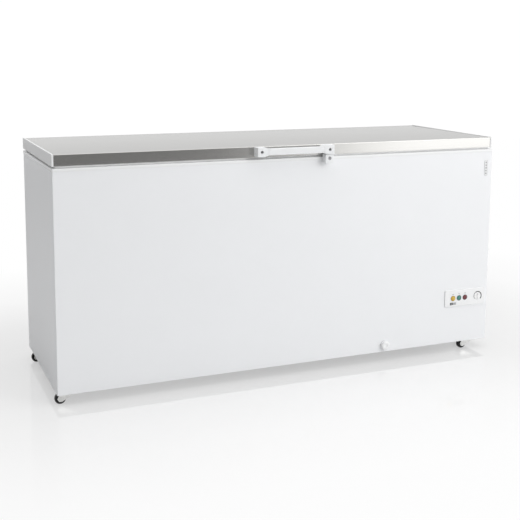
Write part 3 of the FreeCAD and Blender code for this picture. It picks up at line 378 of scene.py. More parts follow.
def printFinish(name, color, attribute=None):
    # Printed ink; the black one is also painted shade in the lock's key slot. With an attribute, its tone follows the
    # value stored on the mesh.
    finish = Finish(name, color, 0.5)
    grain = finish.group("mouldGrain", Vector=finish.place, Fineness=1800.0, Drift=0.06)
    tone = toned(finish, color, grain["Tone"])
    if attribute:
        stored = addNode(finish.tree, "ShaderNodeAttribute", {"attribute_name": attribute})["Fac"]
        tone = mixColors(finish.tree, stored, (0.50, 0.50, 0.52), (0.035, 0.035, 0.04))
    finish.link(tone, "Base Color")
    finish.bump(grain["Height"], 0.00001)
    finish.keep()


finishTable = [
    (enamelFinish, [("shellEnamel", (0.86, 0.87, 0.885), 0.30, 0.00002, 0.018),
                    ("rearEnamel", (0.62, 0.63, 0.645), 0.45, 0.00004, 0.05),
                    ("compressorBlack", (0.018, 0.018, 0.020), 0.38, 0.00006, 0.3)]),
    # name, color, roughness, fineness of the grain, its depth, tone drift, dust
    (plasticFinish, [("glossWhite", (0.87, 0.875, 0.88), 0.24, 1500.0, 0.000015, 0.02),
                     ("knobWhite", (0.90, 0.90, 0.90), 0.30, 1500.0, 0.00001, 0.02),
                     ("handleWhite", (0.83, 0.84, 0.85), 0.30, 2200.0, 0.00002, 0.02),
                     ("trimGrey", (0.80, 0.805, 0.81), 0.42, 2600.0, 0.00004, 0.04),
                     ("lidInside", (0.80, 0.815, 0.83), 0.34, 900.0, 0.00003, 0.03),
                     ("gasketVinyl", (0.80, 0.80, 0.80), 0.55, 1200.0, 0.00004, 0.04),
                     ("darkGrey", (0.11, 0.115, 0.12), 0.48, 2200.0, 0.00005, 0.08, 0.12),
                     ("blackNylon", (0.012, 0.012, 0.013), 0.42, 1800.0, 0.00005, 0.2, 0.10),
                     ("blackRubber", (0.02, 0.02, 0.021), 0.7, 1400.0, 0.00008, 0.2, 0.14),
                     ("dippedWire", (0.82, 0.83, 0.84), 0.32, 1200.0, 0.00002, 0.03),
                     ("foamCore", (0.72, 0.62, 0.38), 0.85, 400.0, 0.0004, 0.12, 0.0)]),
    # name, color, roughness, stretch of the grain, its density, contrast, depth, wear
    (metalFinish, [("lidSteel", (0.535, 0.53, 0.515), 0.14, (0.02, 1.0, 1.0), 2600.0, 0.20, 0.00001),
                   ("castorZinc", (0.78, 0.78, 0.765), 0.34, (1.0, 1.0, 0.3), 420.0, 0.35, 0.00002, 0.25),
                   # The lid's screws are painted dark: painted shade standing for the dark recesses they sit in.
                   ("darkScrew", (0.10, 0.10, 0.11), 0.4, (1.0, 1.0, 1.0), 700.0, 0.3, 0.00001, 0.1),
                   ("screwZinc", (0.56, 0.56, 0.54), 0.32, (1.0, 1.0, 1.0), 700.0, 0.3, 0.00001, 0.1),
                   ("lockChrome", (0.42, 0.42, 0.43), 0.30, (1.0, 1.0, 1.0), 900.0, 0.2, 0.00001, 0.1),
                   ("badgeSatin", (0.74, 0.745, 0.75), 0.38, (1.0, 1.0, 0.05), 1800.0, 0.15, 0.00001),
                   ("copperPipe", (0.62, 0.30, 0.18), 0.34, (1.0, 1.0, 1.0), 160.0, 0.5, 0.00002, 0.35)]),
    (zincFinish, [("baseZinc", (0.52, 0.53, 0.54), 0.42, 0.012), ("coilSteel", (0.45, 0.45, 0.46), 0.45, 0.02)]),
    (tubFinish, [("tubEmbossed", (0.80, 0.815, 0.83), 0.36)]),
    (lensFinish, [("amberLens", (0.58, 0.37, 0.04), "fast_freeze_button"),
                  ("greenLens", (0.05, 0.215, 0.18), "power_lamp"),
                  ("redLens", (0.13, 0.010, 0.016), "alarm_lamp")]),
    # The black ink is both real print and painted shade for the lock's key slot.
    (printFinish, [("markGrey", (0.22, 0.22, 0.23)), ("ringGrey", (0.16, 0.16, 0.17)),
                   ("markBlack", (0.03, 0.03, 0.033)), ("markPale", (0.55, 0.56, 0.57)),
                   ("arcPrint", (0.3, 0.3, 0.31), "coldness")]),
]


def makeFinishes():
    for maker, rows in finishTable:
        for row in rows:
            maker(*row)
    print("finishes made:", len(finishes))


# ---- mesh helpers

def place(mesh, name, finish, body, slot, *replaced):
    made = bpy.data.objects.new(name, mesh)
    bpy.context.collection.objects.link(made)
    if finish:
        mesh.materials.clear()
        mesh.materials.append(finishes[finish])
    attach(made, body)
    if replaced:
        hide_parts(*replaced)
    return made


def add(work, name, finish, body, slot, *replaced):
    return place(fromBmesh(work, name), name, finish, body, slot, *replaced)


def fromBmesh(work, name, smoothAngle=35):
    for face in work.faces:
        face.smooth = True
    for edge in work.edges:
        edge.smooth = len(edge.link_faces) == 2 and edge.calc_face_angle(0) < math.radians(smoothAngle)
    mesh = bpy.data.meshes.new(name)
    work.to_mesh(mesh)
    work.free()
    return mesh


def softenEdges(piece, width):
    bevel = piece.modifiers.new("softEdges", "BEVEL")
    bevel.width, bevel.segments = width, 2
    bevel.limit_method, bevel.angle_limit = "ANGLE", math.radians(30)
    bevel.use_clamp_overlap, bevel.harden_normals = True, True


def lathe(profile, steps, centre, axis, ripple=None):
    # Turns (radius, distance) pairs round an axis that starts at centre.
    work = bmesh.new()
    aim = Vector(axis).to_track_quat("Z", "Y").to_matrix()
    rings = []
    for radius, along in profile:
        if radius < 1e-7:
            rings.append([work.verts.new(Vector(centre) + aim @ Vector((0, 0, along)))])
            continue
        ring = []
        for count in range(steps):
            angle = math.tau * count / steps
            reach = radius + (ripple(angle, radius, along) if ripple else 0)
            spot = aim @ Vector((reach * math.cos(angle), reach * math.sin(angle), along))
            ring.append(work.verts.new(Vector(centre) + spot))
        rings.append(ring)
    for lower, upper in zip(rings, rings[1:]):
        for count in range(steps):
            after = (count + 1) % steps
            pairs = (lower, count), (lower, after), (upper, after), (upper, count)
            corners = [ring[turn % len(ring)] for ring, turn in pairs]
            unique = list(dict.fromkeys(corners))
            if len(unique) > 2:
                work.faces.new(unique)
    bmesh.ops.recalc_face_normals(work, faces=work.faces)
    return work


def roundedProfile(points, bend, steps):
    # Softens the inner corners of a turned outline.
    made = [points[0]]
    for before, here, after in zip(points, points[1:], points[2:]):
        a, b, c = Vector(before), Vector(here), Vector(after)
        reach = min(bend, (a - b).length * 0.45, (c - b).length * 0.45)
        start, end = b + (a - b).normalized() * reach, b + (c - b).normalized() * reach
        for count in range(steps + 1):
            t = count / steps
            made.append(tuple(start.lerp(b, t).lerp(b.lerp(end, t), t)))
    made.append(points[-1])
    return made


def loftedRing(outline, halfX, halfY, bend, steps):
    # Sweeps a closed (inset, height) outline round a rectangle with rounded corners.
    work = bmesh.new()
    rings = []
    for corner, (sx, sy) in enumerate(((1, 1), (-1, 1), (-1, -1), (1, -1))):
        for step in range(steps + 1):
            angle = math.radians(90 * corner + 90 * step / steps)
            ring = []
            for inset, height in outline:
                reach, past = max(bend - inset, 0.0002), inset - min(inset, bend)
                x = sx * (halfX - bend - past) + reach * math.cos(angle)
                y = sy * (halfY - bend - past) + reach * math.sin(angle)
                ring.append(work.verts.new((x, y, height)))
            rings.append(ring)
    for first, second in zip(rings, rings[1:] + rings[:1]):
        for count in range(len(outline)):
            after = (count + 1) % len(outline)
            work.faces.new((first[count], first[after], second[after], second[count]))
    bmesh.ops.recalc_face_normals(work, faces=work.faces)
    return work


def addMark(work, name, finish):
    add(work, name, finish, "cabinet", "grey_plastic")


def oblong(left, right, low, high):
    return [(left, low), (right, low), (right, high), (left, high)]


def plateShape(points, front, back):
    # A flat piece in the XZ plane between two Y positions.
    work = bmesh.new()
    near = [work.verts.new((x, front, z)) for x, z in points]
    far = [work.verts.new((x, back, z)) for x, z in points]
    work.faces.new(near)
    work.faces.new(list(reversed(far)))
    for count in range(len(points)):
        after = (count + 1) % len(points)
        work.faces.new((near[after], near[count], far[count], far[after]))
    bmesh.ops.recalc_face_normals(work, faces=work.faces)
    return work


# ---- pieces that keep their made shape, with folded and moulded edges softened

# finish, edge softening in metres, nodes
madePieces = [
    ("shellEnamel", 0.0004, "outer_shell"),
    ("rearEnamel", 0.0003, "rear_panel"),
    ("baseZinc", 0.0003, "base_panel compressor_tray machine_room_lining"),
    ("darkGrey", 0.0005, "compressor_grille"),
    ("blackRubber", 0.0008, "cable_inlet"),
    ("tubEmbossed", 0.0, "inner_liner"),
    ("glossWhite", 0.0, "rim_trim drain_pipe"),
    ("compressorBlack", 0.0012, "compressor"),
    ("blackRubber", 0.0008, "compressor_mounts"),
    ("darkGrey", 0.002, "relay_box"),
    ("copperPipe", 0.0008, "filter_drier"),
    ("copperPipe", 0.0, "refrigerant_pipes"),
    ("glossWhite", 0.0004, "control_bezel"),
    ("darkGrey", 0.0006, "control_box"),
    ("darkGrey", 0.0008, "thermostat_body"),
    ("badgeSatin", 0.0003, "blank_badge"),
    ("handleWhite", 0.0008, "lock_housing"),
    ("screwZinc", 0.0003, "lock_cam lock_keeper"),
    ("lidSteel", 0.0, "lid_skin"),
    ("trimGrey", 0.0006, "lid_end_trim_left lid_end_trim_right"),
    ("lidInside", 0.0008, "lid_inner_panel"),
    ("handleWhite", 0.0007, "handle_block_left handle_block_right"),
    ("handleWhite", 0.0006, "handle_bar"),
    ("castorZinc", 0.0004, "hinge_base_left hinge_base_right hinge_arm_left hinge_arm_right"),
    ("screwZinc", 0.0003, "hinge_pins"),
    ("screwZinc", 0.0, "hinge_springs"),
    ("castorZinc", 0.0004, "castor_plates castor_fork_front_left castor_fork_front_right castor_fork_rear_left "
     "castor_fork_rear_right"),
]
# Rings round a large opening keep their triangles: a merged face would close the opening.
openFrames = {"rim_trim"}
hiddenNodes = {"insulation_foam": "foamCore", "lid_foam": "foamCore",
               "evaporator_coil": "coilSteel", "condenser_coil": "coilSteel"}
weldReach = 0.00002
nodeBodies = {node: body for body, members in frame["record"]["behaviour"]["bodies"].items() for node in members}
nodeSlots = {part["node"]: part["material_slot"] for part in frame["record"]["subparts"]}


def carryOver(node, finish, width):
    # A merged copy of the made shape: flat faces become single faces, so that its edges can be softened.
    work = bmesh.new()
    work.from_mesh(cadNodes[node].data)
    bmesh.ops.remove_doubles(work, verts=work.verts, dist=weldReach)
    if node not in openFrames:
        bmesh.ops.dissolve_limit(work, angle_limit=math.radians(0.5), verts=work.verts, edges=work.edges)
    piece = add(work, "made_" + node, finish, nodeBodies[node], nodeSlots[node], node)
    if width:
        softenEdges(piece, width)


def carryPieces():
    count = 0
    for finish, width, nodes in madePieces:
        for node in nodes.split():
            carryOver(node, finish, width)
            count += 1
    for node, finish in hiddenNodes.items():
        data = cadNodes[node].data
        data.materials.clear()
        data.materials.append(finishes[finish])
    print("carried over:", count + len(hiddenNodes))


# ---- lamps, dial and printed marks on the control panel

lamp = {"dome": 0.0034, "steps": 48, "bend": 8}
dial = {"skirtRadius": 0.0155, "ribs": 30, "ribDepth": 0.00035, "ridgeWidth": 0.0042, "ridgeReach": 0.0132,
        "faceProud": 0.0014, "ridgeHeight": 0.0026, "arcInner": 0.0170, "arcOuter": 0.0212, "arcFrom": -132,
        "arcTo": 132, "arcSteps": 64}
printed = {"proud": 0.00012, "sunk": 0.0002, "layer": 0.00008, "signLift": 0.0165}


def makeLamp(node, name, finish):
    low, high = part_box(node)
    centre = middle(node)
    radius = (high[0] - low[0]) / 2
    tip, face = low[1], low[1] + lamp["dome"]
    profile = [(0.0, 0.0)]
    for count in range(1, lamp["bend"] + 1):
        angle = math.pi / 2 * count / lamp["bend"]
        profile.append((radius * math.sin(angle), lamp["dome"] * (1 - math.cos(angle)) * 0.92))
    profile += [(radius, face - tip + 0.006), (0.006, face - tip + 0.006), (0.006, high[1] - tip), (0.0, high[1] - tip)]
    work = lathe(profile, lamp["steps"], (centre.x, tip, centre.z), (0, 1, 0))
    add(work, name, finish, nodeBodies[node], nodeSlots[node], node)


def makeLampRing(node, name):
    # Thin dark ring between a lens and the panel.
    low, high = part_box(node)
    centre = middle(node)
    radius, face = (high[0] - low[0]) / 2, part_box("control_bezel")[0][1]
    steps = [(-0.0002, 0.0008), (0.0, -0.0004), (0.0007, -0.0004), (0.0010, 0.0), (0.0010, 0.0008)]
    profile = [(radius + out, along) for out, along in steps]
    work = lathe(profile + profile[:1], lamp["steps"], (centre.x, face, centre.z), (0, 1, 0))
    bmesh.ops.remove_doubles(work, verts=work.verts, dist=0.000001)
    bmesh.ops.recalc_face_normals(work, faces=work.faces)
    addMark(work, name, "ringGrey")


def makeDial():
    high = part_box("thermostat_knob")[1]
    centre = middle("thermostat_knob")
    radius, panelFace = dial["skirtRadius"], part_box("control_bezel")[0][1]
    face = panelFace - dial["faceProud"]
    front = face - dial["ridgeHeight"]
    profile = [(0.0, face), (0.0118, face), (0.0140, face + 0.0002), (radius, face + 0.0009),
               (radius, panelFace + 0.0006), (0.003, panelFace + 0.0006), (0.003, high[1]), (0.0, high[1])]
    profile = roundedProfile([(r, y - front) for r, y in profile], 0.0004, 2)

    def ribbed(angle, reach, along):
        return dial["ribDepth"] * math.cos(angle * dial["ribs"]) if reach > radius - 0.0002 else 0.0

    work = lathe(profile, dial["ribs"] * 6, (centre.x, front, centre.z), (0, 1, 0), ribbed)
    half, reach = dial["ridgeWidth"] / 2, dial["ridgeReach"]
    outline = []
    for side in (1, -1):
        for count in range(9):
            angle = math.radians(count * 22.5 + (0 if side > 0 else 180))
            outline.append((centre.x + half * math.cos(angle),
                            centre.z + side * (reach - half) + half * math.sin(angle)))
    ridge = plateShape(outline, front + 0.0002, face + 0.0006)
    for vert in ridge.verts:
        if vert.co.y < front + 0.0003:
            vert.co.x = centre.x + (vert.co.x - centre.x) * 0.72
    mesh = bpy.data.meshes.new("ridge")
    ridge.to_mesh(mesh)
    ridge.free()
    work.from_mesh(mesh)
    add(work, "dialKnob", "knobWhite", "thermostat_dial", "white_plastic", "thermostat_knob")
    outline = oblong(centre.x - 0.0005, centre.x + 0.0005, centre.z + 0.004, centre.z + 0.0118)
    add(plateShape(outline, front, front + 0.0006), "dialPointer", "markGrey", "thermostat_dial", "grey_plastic")


def makeMarks():
    # Tiny plain signs over the lamps, a two-tone block and the dial's cold-to-colder arc.
    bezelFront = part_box("control_bezel")[0][1]
    front, back = bezelFront - printed["proud"], bezelFront + printed["sunk"]
    work = bmesh.new()
    toneLayer = work.verts.layers.float.new("coldness")
    centre = middle("thermostat_knob")
    rows = []
    for count in range(dial["arcSteps"] + 1):
        share = count / dial["arcSteps"]
        angle = math.radians(90 - dial["arcFrom"] - (dial["arcTo"] - dial["arcFrom"]) * share)
        thin = dial["arcInner"] + (dial["arcOuter"] - dial["arcInner"]) * (0.45 + 0.55 * share)
        row = []
        for reach in (dial["arcInner"], thin):
            for depth in (front, back):
                vert = work.verts.new((centre.x + reach * math.cos(angle), depth, centre.z + reach * math.sin(angle)))
                vert[toneLayer] = min(1.0, share * 2.2)
                row.append(vert)
        rows.append(row)
    for first, second in zip(rows, rows[1:]):
        for a, b in ((0, 2), (2, 3), (3, 1), (1, 0)):
            work.faces.new((first[a], first[b], second[b], second[a]))
    work.faces.new((rows[0][0], rows[0][1], rows[0][3], rows[0][2]))
    work.faces.new((rows[-1][0], rows[-1][2], rows[-1][3], rows[-1][1]))
    bmesh.ops.recalc_face_normals(work, faces=work.faces)
    addMark(work, "dialArc", "arcPrint")

    signs = {"fast_freeze_button": [(-0.0042, 0.0), (0.0042, 0.0), (0.0048, 0.0008), (0.0042, 0.0016),
                                    (-0.0042, 0.0016), (-0.0048, 0.0008)],
             "power_lamp": [(-0.0052, 0.0042), (-0.0008, 0.0030), (0.0002, 0.0018), (0.0050, -0.0004),
                            (0.0044, -0.0016), (0.0000, 0.0002), (-0.0012, 0.0018), (-0.0052, 0.0026)],
             "alarm_lamp": [(-0.0040, 0.0), (0.0040, 0.0), (0.0040, 0.0013), (0.0018, 0.0013), (0.0018, 0.0030),
                            (-0.0018, 0.0030), (-0.0018, 0.0013), (-0.0040, 0.0013)]}
    for node, outline in signs.items():
        spot = middle(node)
        work = plateShape([(spot.x + x, spot.z + printed["signLift"] + z) for x, z in outline], front, back)
        addMark(work, "sign_" + node, "markGrey")
    spot = middle("fast_freeze_button")
    left, low, tall = spot.x - 0.0145, spot.z - 0.0278, 0.0102
    # name, left, right, low, high, finish, layers in front of the panel's print
    blocks = [("twoToneDark", 0.0, 0.0135, 0.0, tall, "markBlack", 0),
              ("twoToneLight", 0.0135, 0.0295, 0.0, tall, "markGrey", 0),
              ("twoToneField", 0.0140, 0.0288, 0.0008, tall - 0.0008, "markPale", 1),
              ("twoToneNotch", 0.0050, 0.0090, 0.0035, 0.0068, "markPale", 1),
              ("twoToneBarOne", 0.0165, 0.0205, 0.0026, 0.0076, "markGrey", 2),
              ("twoToneBarTwo", 0.0228, 0.0262, 0.0026, 0.0076, "markGrey", 2)]
    for name, x0, x1, z0, z1, finish, layers in blocks:
        work = plateShape(oblong(left + x0, left + x1, low + z0, low + z1), front - layers * printed["layer"], back)
        addMark(work, name, finish)
    makeBadgeMarks()


def makeBadgeMarks():
    # Printed border and a plain row of lozenges on the upright badge.
    low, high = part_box("blank_badge")
    centre = middle("blank_badge")
    front, back = low[1] - printed["proud"], low[1] + printed["sunk"]
    halfX, halfZ, line = (high[0] - low[0]) / 2 - 0.0012, (high[2] - low[2]) / 2 - 0.0012, 0.0009
    bars = [(-halfX, -halfX + line, -halfZ, halfZ), (halfX - line, halfX, -halfZ, halfZ),
            (-halfX, halfX, -halfZ, -halfZ + line), (-halfX, halfX, halfZ - line, halfZ)]
    for count, (x0, x1, z0, z1) in enumerate(bars):
        shift = 0.00004 if count > 1 else 0.0
        outline = oblong(centre.x + x0, centre.x + x1, centre.z + z0, centre.z + z1)
        addMark(plateShape(outline, front - shift, back), "badgeBorder_%d" % count, "markPale")
    for count in range(5):
        z = centre.z + (count - 2) * 0.0112
        outline = [(centre.x - 0.0034, z), (centre.x, z - 0.0040), (centre.x + 0.0034, z), (centre.x, z + 0.0040)]
        addMark(plateShape(outline, front, back), "badgeLozenge_%d" % count, "markGrey")


def makePanel():
    lampRows = (("fast_freeze_button", "amberButton", "amberLens"), ("power_lamp", "greenLamp", "greenLens"),
                ("alarm_lamp", "redLamp", "redLens"))
    for node, name, finish in lampRows:
        makeLamp(node, name, finish)
    for node, name, finish in lampRows:
        makeLampRing(node, "ring_" + node)
    makeDial()
    makeMarks()
    print("control panel made")


# ---- lock barrel, drain caps and castor wheels

barrel = {"slot": 0.0016, "slotLength": 0.0075}
cap = {"grips": 20, "gripDepth": 0.0006}
wheel = {"steps": 64, "recess": 0.0022, "hub": 0.0075}


def makeBarrel():
    low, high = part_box("lock_barrel")
    centre = middle("lock_barrel")
    radius = (high[0] - low[0]) / 2
    profile = [(0.0, 0.0011), (0.0045, 0.0011), (0.0049, 0.0004), (radius - 0.0006, 0.0), (radius, 0.0008),
               (radius, high[1] - low[1]), (0.0, high[1] - low[1])]
    work = lathe(roundedProfile(profile, 0.0003, 2), 48, (centre.x, low[1], centre.z), (0, 1, 0))
    add(work, "barrelPlug", "lockChrome", "lock_cylinder", "chrome", "lock_barrel")
    half, reach = barrel["slot"] / 2, barrel["slotLength"] / 2
    outline = oblong(centre.x - half, centre.x + half, centre.z - reach, centre.z + reach)
    # The key slot is a flat black plate on the plug's face: painted shade standing for the dark inside of the keyway.
    add(plateShape(outline, low[1] + 0.0009, low[1] + 0.0014), "keySlotShade", "markBlack", "lock_cylinder", "chrome")


def makeDrainCaps():
    low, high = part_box("drain_cap")
    centre = middle("drain_cap")
    radius = (high[0] - low[0]) / 2

    def gripped(angle, reach, along):
        depth = cap["gripDepth"] if reach > radius - 0.0006 else 0.0
        return -depth * (0.5 + 0.5 * math.cos(angle * cap["grips"])) ** 3

    tall = high[1] - low[1]
    profile = [(0.0, 0.0016), (0.006, 0.0016), (0.0075, 0.0002), (0.0145, 0.0), (radius, 0.0028), (radius, 0.0110),
               (0.0168, 0.0118), (0.0068, 0.0118), (0.0068, tall - 0.001), (0.0058, tall), (0.0, tall)]
    work = lathe(roundedProfile(profile, 0.0012, 4), cap["grips"] * 8, (centre.x, low[1], centre.z), (0, 1, 0), gripped)
    add(work, "drainCap", "glossWhite", "drain_cap_body", "white_plastic", "drain_cap")
    low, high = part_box("tub_plug")
    centre = middle("tub_plug")
    radius, tall = (high[0] - low[0]) / 2, high[2] - low[2]
    profile = [(0.0, 0.0), (0.0058, 0.0), (0.0068, 0.002), (0.0068, 0.0203), (radius, 0.0203), (radius, 0.0228),
               (0.0145, 0.0245), (0.0055, 0.0248), (0.0032, 0.034), (0.0060, 0.0385), (0.0052, tall - 0.0008),
               (0.0, tall)]
    work = lathe(roundedProfile(profile, 0.0012, 4), 56, (centre.x, centre.y, low[2]), (0, 0, 1))
    add(work, "tubPlug", "glossWhite", "tub_plug_body", "white_plastic", "tub_plug")


def makeWheels():
    for corner in ("front_left", "front_right", "rear_left", "rear_right"):
        node = "castor_wheel_" + corner
        low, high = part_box(node)
        centre = middle(node)
        radius, half = (high[2] - low[2]) / 2, (high[1] - low[1]) / 2 - 0.0015
        deep, hub = wheel["recess"], wheel["hub"]
        right = [(0.0040, half + 0.0015), (hub - 0.0008, half + 0.0015), (hub, half), (hub + 0.0008, half - deep),
                 (radius - 0.0058, half - deep), (radius - 0.0048, half), (radius - 0.0022, half),
                 (radius, half - 0.0024), (radius, 0.0)]
        outline = roundedProfile([(0.0040, 0.0)] + right, 0.0007, 3)
        full = outline + [(r, -y) for r, y in reversed(outline[:-1])]
        work = lathe(full, wheel["steps"], (centre.x, centre.y, centre.z), (0, 1, 0))
        bmesh.ops.remove_doubles(work, verts=work.verts, dist=0.000001)
        add(work, "wheel_" + corner, "blackNylon", corner + "_wheel", "black_plastic", node)


# ---- lid seal

seal = {"bend": 0.009, "steps": 6}


def makeSeal():
    low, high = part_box("lid_gasket")
    z0, z1 = low[2], high[2]
    tall = z1 - z0
    # inset from the outer edge in metres, height as a share of the seal's own
    steps = [(0.0, 1.0), (0.0, 0.72), (0.0012, 0.62), (0.0024, 0.54), (0.0014, 0.44), (0.0016, 0.16), (0.0026, 0.04),
             (0.0042, 0.0), (0.0215, 0.0), (0.0232, 0.05), (0.0244, 0.30), (0.0244, 0.45), (0.0262, 0.60),
             (0.0318, 0.70), (0.0318, 1.0)]
    outline = [(inset, z0 + tall * share) for inset, share in steps]
    work = loftedRing(outline, (high[0] - low[0]) / 2, (high[1] - low[1]) / 2, seal["bend"], seal["steps"])
    place(fromBmesh(work, "lidSeal", 50), "lidSeal", "gasketVinyl", "lid", "gasket_rubber", "lid_gasket")
    print("lid seal made")


# ---- repeated pieces, grown by node trees

class PieceTree:
    # A geometry tree with its inputs at hand.
    def __init__(self, name, inputs):
        self.tree = bpy.data.node_groups.new(name, "GeometryNodeTree")
        sockets = self.tree.interface
        kinds = {float: "NodeSocketFloat", int: "NodeSocketInt"}
        sockets.new_socket(name="Geometry", in_out="INPUT", socket_type="NodeSocketGeometry")
        for label, value in inputs.items():
            kind = kinds.get(type(value), "NodeSocketMaterial")
            sockets.new_socket(name=label, in_out="INPUT", socket_type=kind).default_value = value
        sockets.new_socket(name="Geometry", in_out="OUTPUT", socket_type="NodeSocketGeometry")
        self.given = self.tree.nodes.new("NodeGroupInput").outputs
        self.out = self.tree.nodes.new("NodeGroupOutput").inputs[0]

    def node(self, kind, settings=None, **values):
        return addNode(self.tree, "GeometryNode" + kind, settings, **values)[0]

    def vector(self, **parts):
        return addNode(self.tree, "ShaderNodeCombineXYZ", **parts)[0]

    def scaled(self, value, factor):
        return mathNode(self.tree, "MULTIPLY", value, factor)

    def less(self, value, other):
        return mathNode(self.tree, "SUBTRACT", value, other)

    def joined(self, parts):
        made = self.tree.nodes.new("GeometryNodeJoinGeometry")
        for part in parts:
            self.tree.links.new(part, made.inputs[0])
        return made.outputs[0]

    def close(self, geometry, finish):
        solid = self.node("RealizeInstances", Geometry=geometry)
        self.tree.links.new(self.node("SetMaterial", Geometry=solid, Material=finish), self.out)


def grow(kit, name, base, values, finish, body, slot, *replaced):
    # Runs a tree on a base mesh and keeps the result as a plain mesh.
    seed = bpy.data.objects.new(name + "Seed", base)
    bpy.context.collection.objects.link(seed)
    modifier = seed.modifiers.new("grow", "NODES")
    modifier.node_group = kit.tree
    sockets = {item.name: item.identifier for item in kit.tree.interface.items_tree if item.in_out == "INPUT"}
    for label, value in values.items():
        modifier[sockets[label]] = value
    grown = bpy.data.meshes.new_from_object(seed.evaluated_get(bpy.context.evaluated_depsgraph_get()))
    bpy.data.objects.remove(seed)
    work = bmesh.new()
    work.from_mesh(grown)
    bpy.data.meshes.remove(grown)
    bmesh.ops.recalc_face_normals(work, faces=work.faces)
    for face in work.faces:
        face.material_index = 0
    return place(fromBmesh(work, name, 40), name, finish, body, slot, *replaced)


def pointMesh(name, spots, facings=()):
    mesh = bpy.data.meshes.new(name)
    mesh.from_pydata(spots, [], [])
    stored = mesh.attributes.new("facing", "FLOAT_VECTOR", "POINT")
    for item, facing in zip(stored.data, facings):
        item.vector = facing
    return mesh


screwHead = {"Head Radius": 0.0042, "Head Height": 0.0024, "Slot Width": 0.0011, "Slot Depth": 0.0014}


def makeScrewTree():
    # Domed heads with a cross slot, one on each point, turned to the point's facing.
    kit = PieceTree("panHeadScrews", {**screwHead, "Finish": finishes["screwZinc"]})
    radius, height, slotWidth, slotDepth = [kit.given[label] for label in screwHead]
    dome = kit.node("MeshUVSphere", Segments=20, Rings=10, Radius=1.0)
    head = kit.node("Transform", Geometry=dome, Scale=kit.vector(X=radius, Y=radius, Z=height))
    block = kit.node("MeshCube", Size=(0.02, 0.02, 0.02))
    cutters = [kit.node("Transform", Geometry=block, Translation=(0, 0, -0.01))]
    double, length = kit.scaled(slotDepth, 2.0), kit.scaled(radius, 1.15)
    for first, second in ((length, slotWidth), (slotWidth, length)):
        slot = kit.node("MeshCube", Size=kit.vector(X=first, Y=second, Z=double))
        cutters.append(kit.node("Transform", Geometry=slot, Translation=kit.vector(Z=height)))
    carve = kit.tree.nodes.new("GeometryNodeMeshBoolean")
    carve.operation, carve.solver = "DIFFERENCE", "EXACT"
    kit.tree.links.new(head, carve.inputs[0])
    for cutter in cutters:
        kit.tree.links.new(cutter, carve.inputs[1])
    facing = kit.node("InputNamedAttribute", {"data_type": "FLOAT_VECTOR"}, Name="facing")
    turn = addNode(kit.tree, "FunctionNodeAlignRotationToVector", {"axis": "Z"}, Vector=facing)[0]
    points = kit.node("MeshToPoints", Mesh=kit.given["Geometry"])
    heads = kit.node("InstanceOnPoints", Points=points, Instance=carve.outputs[0], Rotation=turn)
    kit.close(heads, kit.given["Finish"])
    return kit


def islands(node):
    # Boxes of the separate heads in a grouped node, in a fixed order.
    work = bmesh.new()
    work.from_mesh(cadNodes[node].data)
    bmesh.ops.remove_doubles(work, verts=work.verts, dist=weldReach)
    left, found = set(work.verts), []
    while left:
        stack, members = [left.pop()], []
        while stack:
            vert = stack.pop()
            members.append(vert.co.copy())
            for edge in vert.link_edges:
                other = edge.other_vert(vert)
                if other in left:
                    left.remove(other)
                    stack.append(other)
        found.append([Vector([pick(co[axis] for co in members) for axis in range(3)]) for pick in (min, max)])
    work.free()
    return sorted(found, key=lambda box: tuple(box[0]))


def makeScrews():
    kit = makeScrewTree()
    # The lid's screws take the dark finish: painted shade for the recesses they sit in.
    for node, body, finish in (("cabinet_screws", "cabinet", "screwZinc"), ("lid_screws", "lid", "darkScrew")):
        spots, facings = [], []
        for low, high in islands(node):
            centre = (low + high) / 2
            if centre.z < 0.06:
                spot, facing = (centre.x, centre.y, high.z), (0, 0, -1)
            elif centre.y < 0:
                spot, facing = (centre.x, low.y + 0.0026, centre.z), (0, -1, 0)
            else:
                spot, facing = (centre.x, low.y, centre.z), (0, 1, 0)
            spots.append(spot)
            facings.append(facing)
        base = pointMesh(node, spots, facings)
        grow(kit, node + "_heads", base, {"Finish": finishes[finish]}, finish, body, "zinc_steel", node)
    print("screws made")


basket = {"Width": 0.22, "Depth": 0.44, "Height": 0.19, "Wire": 0.0017, "Rail": 0.0028, "Rail Width": 0.23,
          "Rail Depth": 0.47, "Cross Wires": 13, "Long Wires": 7, "Corner": 0.022}
hoopShares = (0.36, 0.70)


